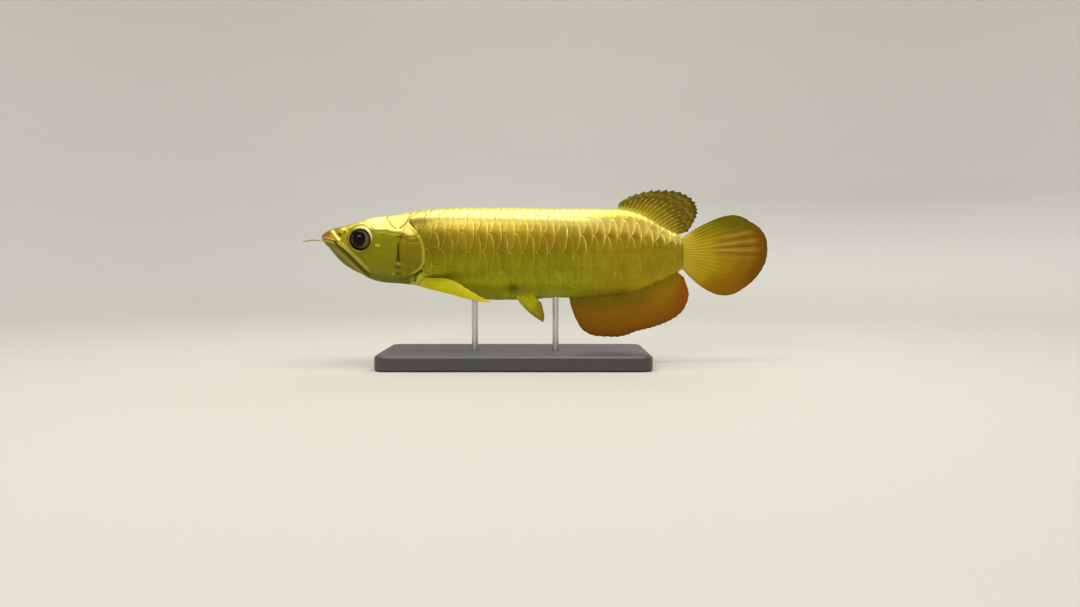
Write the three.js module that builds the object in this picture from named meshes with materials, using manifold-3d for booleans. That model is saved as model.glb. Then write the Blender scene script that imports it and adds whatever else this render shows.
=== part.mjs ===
// Asian arowana, still and life-size, held over a plain flat base by two short rods.
// Millimetres. x runs back from the snout, y to the fish's right, z up from its long axis.
import * as THREE from 'three';
import Module from 'manifold-3d';

const wasm = await Module();
wasm.setup();

// Driving sizes
const LENGTH = 300;
const CAUDAL_BASE = 0.8167 * LENGTH;
const HEAD_END = 0.1933 * LENGTH;
const AXIS_HEIGHT = 0.2467 * LENGTH;
const GAP = 0.3;
const LOW_LIMIT = -60;

const EYE = { x: 27.9, z: 10.1, radius: 7.2, flat: 4.4, out: 6.4 };
const NOSTRILS = [
  { x: 14, z: 13.6, rim: 1.25, pit: 0.6 },
  { x: 17.4, z: 15.2, rim: 0.9, pit: 0.45 },
];
const EYE_RIM = 0.75;

const SCALE_ROWS = 12;
const LINES_PER_ROW = 3;
const FIRST_PITCH = 9.5;
const LAST_PITCH = 7.6;
const SCALE_COLUMNS = 22;
const SCALE_LIFT = 0.75;
const SCALE_EDGE = 0.3;
const ARC_REACH = 0.84;

const TRUNK_CUTS = [HEAD_END + GAP, 117, 163.5, 205, CAUDAL_BASE];
const COVER_LIFT = 0.8;
const COVER_DEPTH = 1.6;

const ROD = { radius: 2.1, front: 103, rear: 157.5, sink: 6 };
const BASE = { long: 178, wide: 86, thick: 10, corner: 8, ease: 1.2, middle: 130 };

// Outlines seen from the side, as pairs of x and z
const BACK = [
  [0, 11.3], [0.7, 13.3], [2, 14.6], [5.4, 16.3], [8.8, 17.5], [15.5, 18.9], [22.2, 20.9], [29, 22.9],
  [35.7, 24.6], [49.2, 26], [62.7, 28.3], [79.6, 30.3], [100, 31], [130, 30.9], [160.5, 30.4],
  [187, 30.3], [199, 30.2], [207.7, 29], [214.4, 26.9], [221, 23.6], [228, 19.3], [235, 15.4],
  [241, 12.9], [246, 12],
];
const BELLY = [
  [0, 11.3], [0.7, 9.8], [2, 8.5], [5.4, 5.2], [8.8, 0.9], [12.1, -3], [15.5, -6.1], [22.2, -10.3],
  [29, -13.5], [35.7, -16.8], [42.5, -18.2], [56, -19.2], [62.7, -20.4], [80, -24.4], [100, -28.4],
  [117, -29.9], [140, -29.4], [160.5, -28.4], [175, -28.4], [187, -28], [204, -26.3], [214.4, -23.4],
  [221, -20.7], [231, -16.2], [238, -12.4], [242, -10.3], [246, -9.6],
];
const HALF_WIDTH = [
  [0, 0], [0.7, 2.3], [2, 3.7], [5.4, 5.4], [8.8, 6.4], [15.5, 7.8], [22, 8.9], [29, 9.9], [42, 11.7],
  [56, 13.1], [75, 13.9], [100, 14.4], [125, 14.3], [155, 13.1], [185, 10.9], [210, 8.2], [232, 5.6],
  [246, 4.4],
];
const WIDEST_LEVEL = [[0, 11.3], [8, 10], [20, 8], [35, 6], [60, 5.5], [110, 5.5], [170, 4.5], [246, 1.4]];
const UPPER_POWER = [[0, 2.1], [10, 2.5], [30, 3], [60, 3], [120, 2.7], [200, 2.3], [246, 2.2]];
const LOWER_POWER = [[0, 2], [20, 2], [60, 1.9], [110, 1.75], [200, 1.8], [246, 2.1]];

const MOUTH = [
  [-4, 11], [2, 10.6], [6.5, 10.2], [9.8, 9.2], [12, 7.4], [14.7, 5.4], [19.3, 1.6], [24.2, -3],
  [28.5, -7.3], [33.4, -11.8],
];
const GILL_COVER = [
  [59.4, 21.4], [64, 17.8], [67.1, 14.6], [69.4, 11], [71, 6.6], [71.6, 1.6], [71.6, -3.6],
  [70, -8], [66.2, -11.4], [61.6, -13.8], [55.4, -15.2], [55, -9.6], [53.6, -4], [53.2, 3.4],
  [53.3, 8.1], [54.4, 13], [56.6, 17.6],
];
const HEAD_FURROWS = [
  [[36.5, 16.6], [41, 16.4], [46.1, 16.5], [49.4, 15.4], [57, 14.4]],
  [[45.2, 25], [45.9, 22.9], [47.5, 21.2], [49.3, 19], [52.4, 17]],
  [[54.4, 17], [56.7, 19.1], [58.7, 20.8]],
  [[35.8, 4.4], [40, 2.8], [45.6, 2.4], [52.6, 3.6]],
  [[33, 0.4], [37, -4.8], [41.4, -8.6], [48, -11.4]],
];

// A smooth function through the points, with no overshoot between them
function curve(points) {
  const last = points.length - 1;
  const rise = (i) => (points[i + 1][1] - points[i][1]) / (points[i + 1][0] - points[i][0]);
  const lean = points.map((point, i) => {
    if (i === 0) return rise(0);
    if (i === last) return rise(last - 1);
    const before = rise(i - 1);
    const after = rise(i);
    if (before * after <= 0) return 0;
    return (2 * before * after) / (before + after);
  });
  return (x) => {
    if (x <= points[0][0]) return points[0][1];
    if (x >= points[last][0]) return points[last][1];
    let i = 0;
    while (x > points[i + 1][0]) i += 1;
    const span = points[i + 1][0] - points[i][0];
    const t = (x - points[i][0]) / span;
    const start = (1 + 2 * t) * (1 - t) ** 2;
    const startLean = t * (1 - t) ** 2 * span;
    const end = t ** 2 * (3 - 2 * t);
    const endLean = t ** 2 * (t - 1) * span;
    return points[i][1] * start + lean[i] * startLean + points[i + 1][1] * end + lean[i + 1] * endLean;
  };
}

const back = curve(BACK);
const belly = curve(BELLY);
const halfWidth = curve(HALF_WIDTH);
const widestLevel = curve(WIDEST_LEVEL);
const upperPower = curve(UPPER_POWER);
const lowerPower = curve(LOWER_POWER);
const mouthLine = curve(MOUTH);

const clamp = (value, low, high) => Math.min(high, Math.max(low, value));
const smooth = (low, high, value) => {
  const t = clamp((value - low) / (high - low), 0, 1);
  return t * t * (3 - 2 * t);
};

// One point of the cross-section at x, by angle from the top of the back over the left side
function sectionPoint(x, angle) {
  const across = Math.sin(angle);
  const up = Math.cos(angle);
  const level = widestLevel(x);
  const power = up >= 0 ? upperPower(x) : lowerPower(x);
  const reach = up >= 0 ? back(x) - level : level - belly(x);
  const y = -halfWidth(x) * Math.sign(across) * Math.abs(across) ** (2 / power);
  const z = level + reach * Math.sign(up) * Math.abs(up) ** (2 / power);
  return [y, z];
}

// Points spaced evenly round the cross-section, each moved out from the surface by its lift
const SECTION_STEPS = 144;
function ring(places, lift) {
  return places.map(({ x, share }) => {
    const walk = [];
    const far = [0];
    for (let i = 0; i <= SECTION_STEPS; i += 1) {
      walk.push(sectionPoint(x, (2 * Math.PI * i) / SECTION_STEPS));
      if (i === 0) continue;
      const [beforeY, beforeZ] = walk[i - 1];
      far.push(far[i - 1] + Math.hypot(walk[i][0] - beforeY, walk[i][1] - beforeZ));
    }
    const goal = (((share % 1) + 1) % 1) * far[SECTION_STEPS];
    let i = 1;
    while (i < SECTION_STEPS && far[i] < goal) i += 1;
    const t = (goal - far[i - 1]) / Math.max(far[i] - far[i - 1], 1e-9);
    const y = walk[i - 1][0] + t * (walk[i][0] - walk[i - 1][0]);
    const z = walk[i - 1][1] + t * (walk[i][1] - walk[i - 1][1]);
    const before = walk[(i - 2 + SECTION_STEPS) % SECTION_STEPS];
    const after = walk[(i + 1) % SECTION_STEPS];
    const slope = Math.hypot(after[0] - before[0], after[1] - before[1]) || 1;
    const out = lift(x, y, z, share);
    const sideways = (after[1] - before[1]) / slope;
    const upward = -(after[0] - before[0]) / slope;
    return new THREE.Vector3(x, y + out * sideways, z + out * upward);
  });
}

// A closed solid through rings of points, each end closed by a fan; turned outside out if needed
function loft(rings) {
  const around = rings[0].length;
  const points = rings.flat();
  const faces = [];
  const capAt = (index, order) => {
    const middle = new THREE.Vector3();
    rings[index].forEach((point) => middle.add(point));
    points.push(middle.divideScalar(around));
    for (let j = 0; j < around; j += 1) {
      const a = index * around + j;
      const b = index * around + ((j + 1) % around);
      faces.push(order ? [points.length - 1, a, b] : [points.length - 1, b, a]);
    }
  };
  for (let i = 0; i + 1 < rings.length; i += 1) {
    for (let j = 0; j < around; j += 1) {
      const a = i * around + j;
      const b = i * around + ((j + 1) % around);
      faces.push([a, a + around, b]);
      faces.push([b, a + around, b + around]);
    }
  }
  capAt(0, true);
  capAt(rings.length - 1, false);
  return solid(points, faces);
}

function solid(points, faces) {
  let volume = 0;
  faces.forEach(([a, b, c]) => {
    volume += points[a].dot(new THREE.Vector3().crossVectors(points[b], points[c]));
  });
  const corners = volume < 0 ? faces.map(([a, b, c]) => [a, c, b]) : faces;
  const mesh = new wasm.Mesh({
    numProp: 3,
    vertProperties: new Float32Array(points.flatMap((point) => [point.x, point.y, point.z])),
    triVerts: new Uint32Array(corners.flat()),
  });
  mesh.merge();
  return new wasm.Manifold(mesh);
}

function fromGeometry(geometry) {
  const position = geometry.getAttribute('position');
  const index = geometry.getIndex();
  const count = index ? index.count : position.count;
  const corner = (i) => (index ? index.getX(i) : i);
  const seen = new Map();
  const points = [];
  const order = [];
  for (let i = 0; i < count; i += 1) {
    const point = new THREE.Vector3().fromBufferAttribute(position, corner(i));
    const key = point.toArray().map((value) => Math.round(value * 1e4)).join();
    if (!seen.has(key)) {
      seen.set(key, points.length);
      points.push(point);
    }
    order.push(seen.get(key));
  }
  const faces = [];
  for (let i = 0; i < order.length; i += 3) {
    const [a, b, c] = order.slice(i, i + 3);
    if (a !== b && b !== c && a !== c) faces.push([a, b, c]);
  }
  return solid(points, faces);
}

// A side-view outline carried straight across from one y to another
function prism(outline, from, to) {
  const shape = new THREE.Shape(outline.map(([x, z]) => new THREE.Vector2(x, z)));
  const geometry = new THREE.ExtrudeGeometry(shape, { depth: to - from, bevelEnabled: false });
  geometry.rotateX(Math.PI / 2);
  geometry.translate(0, to, 0);
  return fromGeometry(geometry);
}

// The outline moved outward all round by a distance
function grow(outline, by) {
  const turn = Math.sign(outline.reduce((sum, [x, z], i) => {
    const [nextX, nextZ] = outline[(i + 1) % outline.length];
    return sum + x * nextZ - nextX * z;
  }, 0));
  return outline.map(([x, z], i) => {
    const [beforeX, beforeZ] = outline[(i + outline.length - 1) % outline.length];
    const [afterX, afterZ] = outline[(i + 1) % outline.length];
    const one = new THREE.Vector2(z - beforeZ, beforeX - x).normalize();
    const two = new THREE.Vector2(afterZ - z, x - afterX).normalize();
    const out = one.clone().add(two).normalize();
    const reach = (turn * by) / Math.max(out.dot(one), 0.5);
    return [x + out.x * reach, z + out.y * reach];
  });
}

function bodyBetween(from, to, steps, around, lift, crowd = 1) {
  const rings = [];
  for (let i = 0; i <= steps; i += 1) {
    const x = from + (to - from) * (i / steps) ** crowd;
    const places = Array.from({ length: around }, (_, j) => ({ x, share: j / around }));
    rings.push(ring(places, lift));
  }
  return loft(rings);
}

// The whole plain body, larger or smaller all over by a distance
function plainBody(by) {
  return bodyBetween(0.15, CAUDAL_BASE + 0.7, 44, SCALE_ROWS * LINES_PER_ROW, () => by, 1.35);
}

function largest(shape) {
  const pieces = shape.decompose();
  return pieces.reduce((best, piece) => (piece.volume() > best.volume() ? piece : best));
}

function distanceTo(path, x, z) {
  let best = Infinity;
  for (let i = 0; i + 1 < path.length; i += 1) {
    const [ax, az] = path[i];
    const [bx, bz] = path[i + 1];
    const square = (bx - ax) ** 2 + (bz - az) ** 2;
    const t = clamp(((x - ax) * (bx - ax) + (z - az) * (bz - az)) / square, 0, 1);
    best = Math.min(best, Math.hypot(x - ax - t * (bx - ax), z - az - t * (bz - az)));
  }
  return best;
}

// Relief of the head: lips, upper jaw strip and the furrows between the plates of skull and cheek
function headRelief(x, y, z) {
  const side = smooth(2, 4.5, Math.abs(y));
  const toMouth = distanceTo(MOUTH, x, z);
  const above = z > mouthLine(x);
  const front = 1 - smooth(30, 34, x);
  let lift = 0;
  lift += 0.35 * front * Math.exp(-(((toMouth - 0.9) / 0.9) ** 2));
  if (above) lift += 0.5 * side * front * (1 - smooth(2.6, 4, toMouth));
  HEAD_FURROWS.forEach((furrow) => {
    lift -= 0.6 * side * Math.exp(-((distanceTo(furrow, x, z) / 0.9) ** 2));
  });
  return lift;
}

// Big overlapping scales: along every line round the body, the free edges of the scales of the even and
// odd rows follow one another, and at each the surface falls from the edge of one scale to the next
function scaleColumn(column) {
  const shrink = (FIRST_PITCH - LAST_PITCH) / (2 * SCALE_COLUMNS);
  return HEAD_END - 0.5 + column * FIRST_PITCH - shrink * column * column;
}

function arcBack(t) {
  return ARC_REACH * (1 - (1 - Math.min(t, 1) ** 2.3) ** (1 / 1.7));
}

function scaleFade(x, share) {
  const fromTop = Math.min(share, 1 - share);
  const fromBottom = Math.abs(share - 0.5);
  const finAbove = smooth(192, 199, x) * (1 - smooth(0.02, 0.06, fromTop));
  const finBelow = smooth(158, 166, x) * (1 - smooth(0.02, 0.055, fromBottom));
  const tail = smooth(CAUDAL_BASE - 9, CAUDAL_BASE - 1, x);
  const pelvic = smooth(124, 130, x) * (1 - smooth(144, 150, x)) * (1 - smooth(0.075, 0.12, fromBottom));
  return (1 - finAbove) * (1 - finBelow) * (1 - tail) * (1 - pelvic);
}

function scaledTrunk() {
  const lines = SCALE_ROWS * LINES_PER_ROW;
  const rings = [];
  for (let step = 0; step < 2 * SCALE_COLUMNS + 2; step += 1) {
    const rows = Array.from({ length: lines }, (_, line) => {
      const row = line / LINES_PER_ROW;
      const fromEven = Math.abs(row - 2 * Math.round(row / 2));
      const apart = step % 2 === 0 ? fromEven : 1 - fromEven;
      const column = step / 2 - 0.5 * arcBack(apart);
      const height = SCALE_LIFT * (1 - 0.85 * apart ** 2.2);
      return { x: scaleColumn(column), share: row / SCALE_ROWS, height };
    });
    const heightOf = new Map(rows.map((place) => [place.share, place.height]));
    rings.push(ring(rows, (x, y, z, share) => heightOf.get(share) * scaleFade(x, share)));
    const feet = rows.map(({ x, share }) => ({ x: x + SCALE_EDGE, share }));
    rings.push(ring(feet, () => 0));
  }
  return loft(rings);
}

function between(from, to) {
  return prism([[from, LOW_LIMIT], [to, LOW_LIMIT], [to, -LOW_LIMIT], [from, -LOW_LIMIT]], -60, 60);
}

// A tube of round sections along a path; a closed path makes a ring
function tube(path, radii, sides) {
  return loft(path.map((point, i) => {
    const ahead = path[Math.min(i + 1, path.length - 1)];
    const behind = path[Math.max(i - 1, 0)];
    const along = ahead.clone().sub(behind).normalize();
    const across = new THREE.Vector3(0, 1, 0).cross(along);
    if (across.length() < 0.1) across.set(1, 0, 0).cross(along);
    across.normalize();
    const other = along.clone().cross(across);
    return Array.from({ length: sides }, (_, j) => {
      const angle = (2 * Math.PI * j) / sides;
      const spot = point.clone().addScaledVector(across, radii[i] * Math.cos(angle));
      return spot.addScaledVector(other, radii[i] * Math.sin(angle));
    });
  }));
}

// The side of the body at x and z, as y on the left side
function sideAt(x, z) {
  const level = widestLevel(x);
  const power = z >= level ? upperPower(x) : lowerPower(x);
  const reach = z >= level ? back(x) - level : level - belly(x);
  const share = clamp(Math.abs(z - level) / reach, 0, 1);
  return -halfWidth(x) * (1 - share ** power) ** (1 / power);
}

function eyeball(extra) {
  const tilts = [-76, -58, -38, -16, 6, 30, 60].map((degrees) => (degrees * Math.PI) / 180);
  return loft(tilts.map((tilt) => Array.from({ length: 20 }, (_, i) => {
    const turn = (2 * Math.PI * i) / 20;
    const reach = (EYE.radius + extra) * Math.cos(tilt);
    const y = -EYE.out + (EYE.flat + extra) * Math.sin(tilt);
    return new THREE.Vector3(EYE.x + reach * Math.cos(turn), y, EYE.z + reach * Math.sin(turn));
  })));
}

// Raised rim of the orbit, following the side of the head round the eye
function eyeRim() {
  const steps = 22;
  const sides = 5;
  const points = [];
  const faces = [];
  for (let i = 0; i < steps; i += 1) {
    const turn = (2 * Math.PI * i) / steps;
    const middle = EYE.radius + 0.45;
    const onSide = sideAt(EYE.x + middle * Math.cos(turn), EYE.z + middle * Math.sin(turn));
    for (let j = 0; j < sides; j += 1) {
      const tilt = (2 * Math.PI * j) / sides;
      const reach = middle + EYE_RIM * Math.cos(tilt);
      const x = EYE.x + reach * Math.cos(turn);
      const z = EYE.z + reach * Math.sin(turn);
      points.push(new THREE.Vector3(x, onSide + 0.15 - EYE_RIM * Math.sin(tilt), z));
      const a = i * sides + j;
      const b = i * sides + ((j + 1) % sides);
      const c = ((i + 1) % steps) * sides + j;
      const d = ((i + 1) % steps) * sides + ((j + 1) % sides);
      faces.push([a, c, b]);
      faces.push([b, c, d]);
    }
  }
  return solid(points, faces);
}

function disc(x, z, radius, depth, proud) {
  const side = sideAt(x, z);
  const path = [new THREE.Vector3(x, side + depth, z), new THREE.Vector3(x, side - proud, z)];
  return tube(path, [radius, radius * 0.8], 10);
}

const mirror = (shape) => shape.mirror([0, 1, 0]);
const both = (shape) => shape.add(mirror(shape));

// A fin as a grid of rays and webs, alike on both faces: base and tip give the ends of each ray by its
// share of the way along the fin, bow bends it, and the web between two rays ends short of their tips
function fin({ rays, rows, base, tip, bow, thick, ridge, notch, sideways }) {
  const columns = 2 * rays - 1;
  const place = (share, along) => {
    const start = new THREE.Vector3(...base(share));
    const end = new THREE.Vector3(...tip(share));
    const middle = start.clone().add(end).multiplyScalar(0.5).add(new THREE.Vector3(...bow(share)));
    const first = start.multiplyScalar((1 - along) ** 2);
    return first.addScaledVector(middle, 2 * along * (1 - along)).addScaledVector(end, along * along);
  };
  const left = [];
  const right = [];
  for (let i = 0; i < columns; i += 1) {
    const share = i / (columns - 1);
    const onRay = i % 2 === 0;
    for (let j = 0; j <= rows; j += 1) {
      const along = (j / rows) ** 1.25 * (onRay ? 1 : 1 - notch);
      const spot = place(share, along);
      const far = spot.distanceTo(place(share, 0));
      const half = 0.5 * (thick(share, along, far) + (onRay ? ridge * (1 - 0.5 * along) : 0));
      const across = sideways ? new THREE.Vector3(0, 1, 0) : finNormal(place, share, along);
      left.push(spot.clone().addScaledVector(across, -half));
      right.push(spot.clone().addScaledVector(across, half));
    }
  }
  const points = left.concat(right);
  const deep = rows + 1;
  const shift = left.length;
  const faces = [];
  const wall = (a, b) => faces.push([a, b, a + shift], [b, b + shift, a + shift]);
  for (let i = 0; i + 1 < columns; i += 1) {
    for (let j = 0; j < rows; j += 1) {
      const a = i * deep + j;
      const b = a + deep;
      const crossed = i % 2 === 0 ? [[a, b, b + 1], [a, b + 1, a + 1]] : [[a, b, a + 1], [b, b + 1, a + 1]];
      crossed.forEach(([p, q, r]) => faces.push([p, q, r], [p + shift, r + shift, q + shift]));
    }
    wall((i + 1) * deep, i * deep);
    wall(i * deep + rows, (i + 1) * deep + rows);
  }
  for (let j = 0; j < rows; j += 1) {
    wall(j, j + 1);
    wall((columns - 1) * deep + j + 1, (columns - 1) * deep + j);
  }
  return solid(points, faces);
}

function finNormal(place, share, along) {
  const low = Math.max(share - 0.02, 0);
  const high = Math.min(share + 0.02, 1);
  const near = clamp(along, 0.02, 0.98);
  const spread = place(high, along).sub(place(low, along));
  const run = place(share, near + 0.02).sub(place(share, near - 0.02));
  return spread.cross(run).normalize();
}

// Tip and base of a fin as smooth paths by share
function pathOf(stops) {
  const x = curve(stops.map(([share, ...point]) => [share, point[0]]));
  const y = curve(stops.map(([share, ...point]) => [share, point[1]]));
  const z = curve(stops.map(([share, ...point]) => [share, point[2]]));
  return (share) => [x(share), y(share), z(share)];
}

const alongBack = (from, to, sink) => (share) => {
  const x = from + (to - from) * share;
  return [x, 0, back(x) - sink];
};
const alongBelly = (from, to, sink) => (share) => {
  const x = from + (to - from) * share;
  return [x, 0, belly(x) + sink];
};

const dorsalFin = () => fin({
  rays: 20,
  rows: 3,
  base: alongBack(198.8, 237.5, 1.4),
  tip: pathOf([
    [0, 200.2, 0, 35.2], [0.07, 204.3, 0, 37.9], [0.15, 211, 0, 40.9], [0.3, 226, 0, 43.8],
    [0.42, 236.8, 0, 43.2], [0.54, 246.2, 0, 39.8], [0.65, 251.7, 0, 34.4], [0.78, 253, 0, 28.8],
    [0.9, 250.3, 0, 22], [1, 246.2, 0, 15.6],
  ]),
  bow: (share) => [0, 0, 1.2 * Math.sin(Math.PI * share)],
  thick: (share, along, far) => 0.7 + 2.2 * Math.exp(-far / 3),
  ridge: 0.6,
  notch: 0.035,
  sideways: true,
});

const analFin = () => fin({
  rays: 26,
  rows: 3,
  base: alongBelly(166.2, 238.5, 1.4),
  tip: pathOf([
    [0, 167.8, 0, -34.6], [0.06, 171.8, 0, -44.5], [0.12, 176.4, 0, -51.1], [0.2, 185, 0, -54.8],
    [0.3, 197.5, 0, -55.4], [0.37, 204.5, 0, -54.4], [0.45, 211.5, 0, -51.8], [0.6, 224.8, 0, -48.3],
    [0.74, 236.8, 0, -43.1], [0.84, 244.6, 0, -35.8], [0.92, 247.3, 0, -26.4], [1, 244, 0, -15.2],
  ]),
  bow: (share) => [-0.8 * Math.sin(Math.PI * share), 0, -0.8 * Math.sin(Math.PI * share)],
  thick: (share, along, far) => 0.7 + 2.4 * Math.exp(-far / 3.5),
  ridge: 0.6,
  notch: 0.022,
  sideways: true,
});

const caudalFin = () => fin({
  rays: 19,
  rows: 4,
  base: (share) => [CAUDAL_BASE + GAP, 0, 11.9 - 21.4 * share],
  tip: pathOf([
    [0, 270.5, 0, 26], [0.067, 276.8, 0, 26.8], [0.13, 282.8, 0, 25.5], [0.2, 288.3, 0, 22.4],
    [0.26, 293.2, 0, 19.3], [0.32, 297.2, 0, 15], [0.385, 299.5, 0, 9.6], [0.455, 300, 0, 3.3],
    [0.525, 299.3, 0, -2.8], [0.6, 296.8, 0, -9], [0.67, 293.2, 0, -14.4], [0.743, 288.4, 0, -19.3],
    [0.815, 282.9, 0, -23.3], [0.88, 277.7, 0, -26.2], [0.945, 272.2, 0, -27.3], [1, 267, 0, -26.9],
  ]),
  bow: (share) => [0, 0, (1 - 2 * share) * Math.abs(1 - 2 * share) * (share < 0.5 ? 3.2 : 5.4)],
  thick: (share, along, far) => {
    const round = Math.sqrt(Math.max(1 - (1.02 * (2 * share - 1)) ** 2, 0));
    return 0.9 + (7.4 * round) * Math.exp(-far / 8) - 0.2 * along;
  },
  ridge: 0.7,
  notch: 0.015,
  sideways: true,
});

const pectoralFin = () => fin({
  rays: 8,
  rows: 5,
  base: (share) => [64.6, -8.2 - 1.6 * share, -21 + 5.6 * share],
  tip: pathOf([
    [0, 116.6, -43, -30], [0.15, 114.6, -40.5, -29.2], [0.35, 108.6, -34.6, -26.2],
    [0.6, 100, -26.6, -21.8], [0.8, 93, -20.4, -17.9], [1, 86, -16.2, -15.6],
  ]),
  bow: (share) => [0, -1.6, -2.8 * (1 - share)],
  thick: (share, along, far) => 0.7 + (1.2 * (1 - share) + 0.6) * (1 - along) ** 1.5,
  ridge: 0.7,
  notch: 0.03,
  sideways: false,
});

const pelvicFin = () => fin({
  rays: 6,
  rows: 4,
  base: (share) => [129.8 + 12 * share, -3.4, -26.2],
  tip: pathOf([
    [0, 149.7, -11.5, -44.8], [0.3, 150, -10.4, -42], [0.65, 149.2, -8.8, -37.4], [1, 148, -7, -33],
  ]),
  bow: (share) => [-3.4 * (1 - share), -0.6, -2.2 * (1 - share)],
  thick: (share, along) => 0.7 + 1.0 * (1 - along) ** 1.5,
  ridge: 0.6,
  notch: 0.04,
  sideways: false,
});

function barbel() {
  const path = [];
  const radii = [];
  const steps = 6;
  for (let i = 0; i <= steps; i += 1) {
    const t = i / steps;
    const x = 3.4 - 15.4 * t;
    path.push(new THREE.Vector3(x, -1.3 - 2 * t, 9.3 + 0.9 * Math.sin(Math.PI * t) - 0.3 * t));
    radii.push(0.72 - 0.4 * t + 0.35 * (1 - t) ** 4);
  }
  return tube(path, radii, 6);
}

function rod(x, extra) {
  const top = belly(x) + ROD.sink + extra;
  const bottom = BASE.thick - AXIS_HEIGHT - ROD.sink - extra;
  const path = [new THREE.Vector3(x, 0, bottom), new THREE.Vector3(x, 0, top)];
  return tube(path, [ROD.radius + extra, ROD.radius + extra], 20);
}

function standBase() {
  const layer = (inset, z) => {
    const points = [];
    const perCorner = 4;
    [[1, 1], [-1, 1], [-1, -1], [1, -1]].forEach(([sideX, sideY], quarter) => {
      for (let i = 0; i <= perCorner; i += 1) {
        const angle = (Math.PI / 2) * (quarter + i / perCorner);
        const reach = BASE.corner - inset;
        const x = BASE.middle + sideX * (BASE.long / 2 - BASE.corner) + reach * Math.cos(angle);
        const y = sideY * (BASE.wide / 2 - BASE.corner) + reach * Math.sin(angle);
        points.push(new THREE.Vector3(x, y, z - AXIS_HEIGHT));
      }
    });
    return points;
  };
  const { thick, ease } = BASE;
  return loft([layer(ease, 0), layer(0, ease), layer(0, thick - ease), layer(ease, thick)]);
}

// Putting it together
const grown = plainBody(GAP + 0.2);
const headBetween = (lift) => bodyBetween(0.15, HEAD_END, 29, 40, lift, 1.3);
const jawRegion = MOUTH.concat([[35.6, -20], [30, -32], [-10, -32]]);
const coverPlace = grow(GILL_COVER, GAP);
const underCover = (depth) => bodyBetween(HEAD_END - 18, HEAD_END + 22, 5, 22, () => -depth);
const coverFloor = underCover(COVER_DEPTH);
const coverBed = underCover(COVER_DEPTH + GAP);
const coverPocket = both(prism(coverPlace, -40, -3).subtract(coverBed));
const rodHoles = [ROD.front, ROD.rear].map((x) => rod(x, GAP));

const wholeHead = headBetween(headRelief);
const nostrils = (make) => both(NOSTRILS.map(make).reduce((all, one) => all.add(one)));
const nostrilRim = nostrils(({ x, z, rim }) => disc(x, z, rim, 1, 0.4 * rim));
const nostrilPit = nostrils(({ x, z, pit }) => disc(x, z, pit, 0.5, 2));
const sculptedHead = wholeHead
  .add(both(eyeRim()))
  .subtract(both(eyeball(GAP)))
  .add(nostrilRim)
  .subtract(nostrilPit)
  .subtract(coverPocket);
const jaw = sculptedHead.intersect(prism(jawRegion, -40, 40));
const head = sculptedHead.subtract(prism(grow(jawRegion, GAP), -40, 40));

const trunk = scaledTrunk().subtract(coverPocket);
const trunkLengths = TRUNK_CUTS.slice(1).map((end, i) => {
  const start = TRUNK_CUTS[i] + (i > 0 ? GAP : 0);
  let length = trunk.intersect(between(start, end));
  rodHoles.forEach((hole) => {
    length = length.subtract(hole);
  });
  return length;
});

const cover = plainBody(COVER_LIFT).intersect(prism(GILL_COVER, -40, -3)).subtract(coverFloor);
const standPlate = standBase().subtract(rodHoles[0]).subtract(rodHoles[1]);
const pectoral = pectoralFin().subtract(grown);
const pelvic = pelvicFin().subtract(grown);
const feeler = barbel().subtract(headBetween((x, y, z) => headRelief(x, y, z) + GAP + 0.15));

const FINISHES = {
  skin: { colour: [0.32, 0.25, 0.04], roughness: 0.38, metalness: 0.5 },
  eye: { colour: [0.03, 0.02, 0.02], roughness: 0.1, metalness: 0 },
  fins: { colour: [0.25, 0.14, 0.01], roughness: 0.5, metalness: 0.15 },
  barbels: { colour: [0.38, 0.36, 0.12], roughness: 0.45, metalness: 0 },
  base: { colour: [0.05, 0.045, 0.042], roughness: 0.45, metalness: 0 },
  rods: { colour: [0.58, 0.58, 0.59], roughness: 0.28, metalness: 1 },
};

const fish = new THREE.Group();
fish.name = 'asian_arowana';

function node(name, shape, finish) {
  const mesh = largest(shape).simplify(0.02).getMesh();
  const geometry = new THREE.BufferGeometry();
  geometry.setAttribute('position', new THREE.BufferAttribute(new Float32Array(mesh.vertProperties), 3));
  geometry.setIndex(new THREE.BufferAttribute(new Uint32Array(mesh.triVerts), 1));
  const { colour, roughness, metalness } = FINISHES[finish];
  const color = new THREE.Color(...colour);
  const material = new THREE.MeshStandardMaterial({ color, roughness, metalness });
  material.name = finish;
  const part = new THREE.Mesh(geometry, material);
  part.name = name;
  fish.add(part);
}

node('head', head, 'skin');
node('lower_jaw', jaw, 'skin');
node('gill_cover_left', cover, 'skin');
node('gill_cover_right', mirror(cover), 'skin');
node('eye_left', eyeball(0), 'eye');
node('eye_right', mirror(eyeball(0)), 'eye');
node('barbel_left', feeler, 'barbels');
node('barbel_right', mirror(feeler), 'barbels');
['trunk_front', 'trunk_middle', 'trunk_rear', 'tail_peduncle'].forEach((name, i) => {
  node(name, trunkLengths[i], 'skin');
});
node('fin_dorsal', dorsalFin().subtract(grown), 'fins');
node('fin_anal', analFin().subtract(grown), 'fins');
node('fin_caudal', caudalFin(), 'fins');
node('fin_pectoral_left', pectoral, 'fins');
node('fin_pectoral_right', mirror(pectoral), 'fins');
node('fin_pelvic_left', pelvic, 'fins');
node('fin_pelvic_right', mirror(pelvic), 'fins');
node('stand_base', standPlate, 'base');
node('stand_rod_front', rod(ROD.front, 0), 'rods');
node('stand_rod_rear', rod(ROD.rear, 0), 'rods');

// Origin in the middle of the underside of the whole part's box
const box = new THREE.Box3();
fish.children.forEach((part) => {
  part.geometry.computeBoundingBox();
  box.union(part.geometry.boundingBox);
});
const middle = box.getCenter(new THREE.Vector3());
fish.children.forEach((part) => part.geometry.translate(-middle.x, -middle.y, -box.min.z));

export default fish;
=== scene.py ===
"""The looks of a golden asian arowana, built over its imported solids."""
import math

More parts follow.
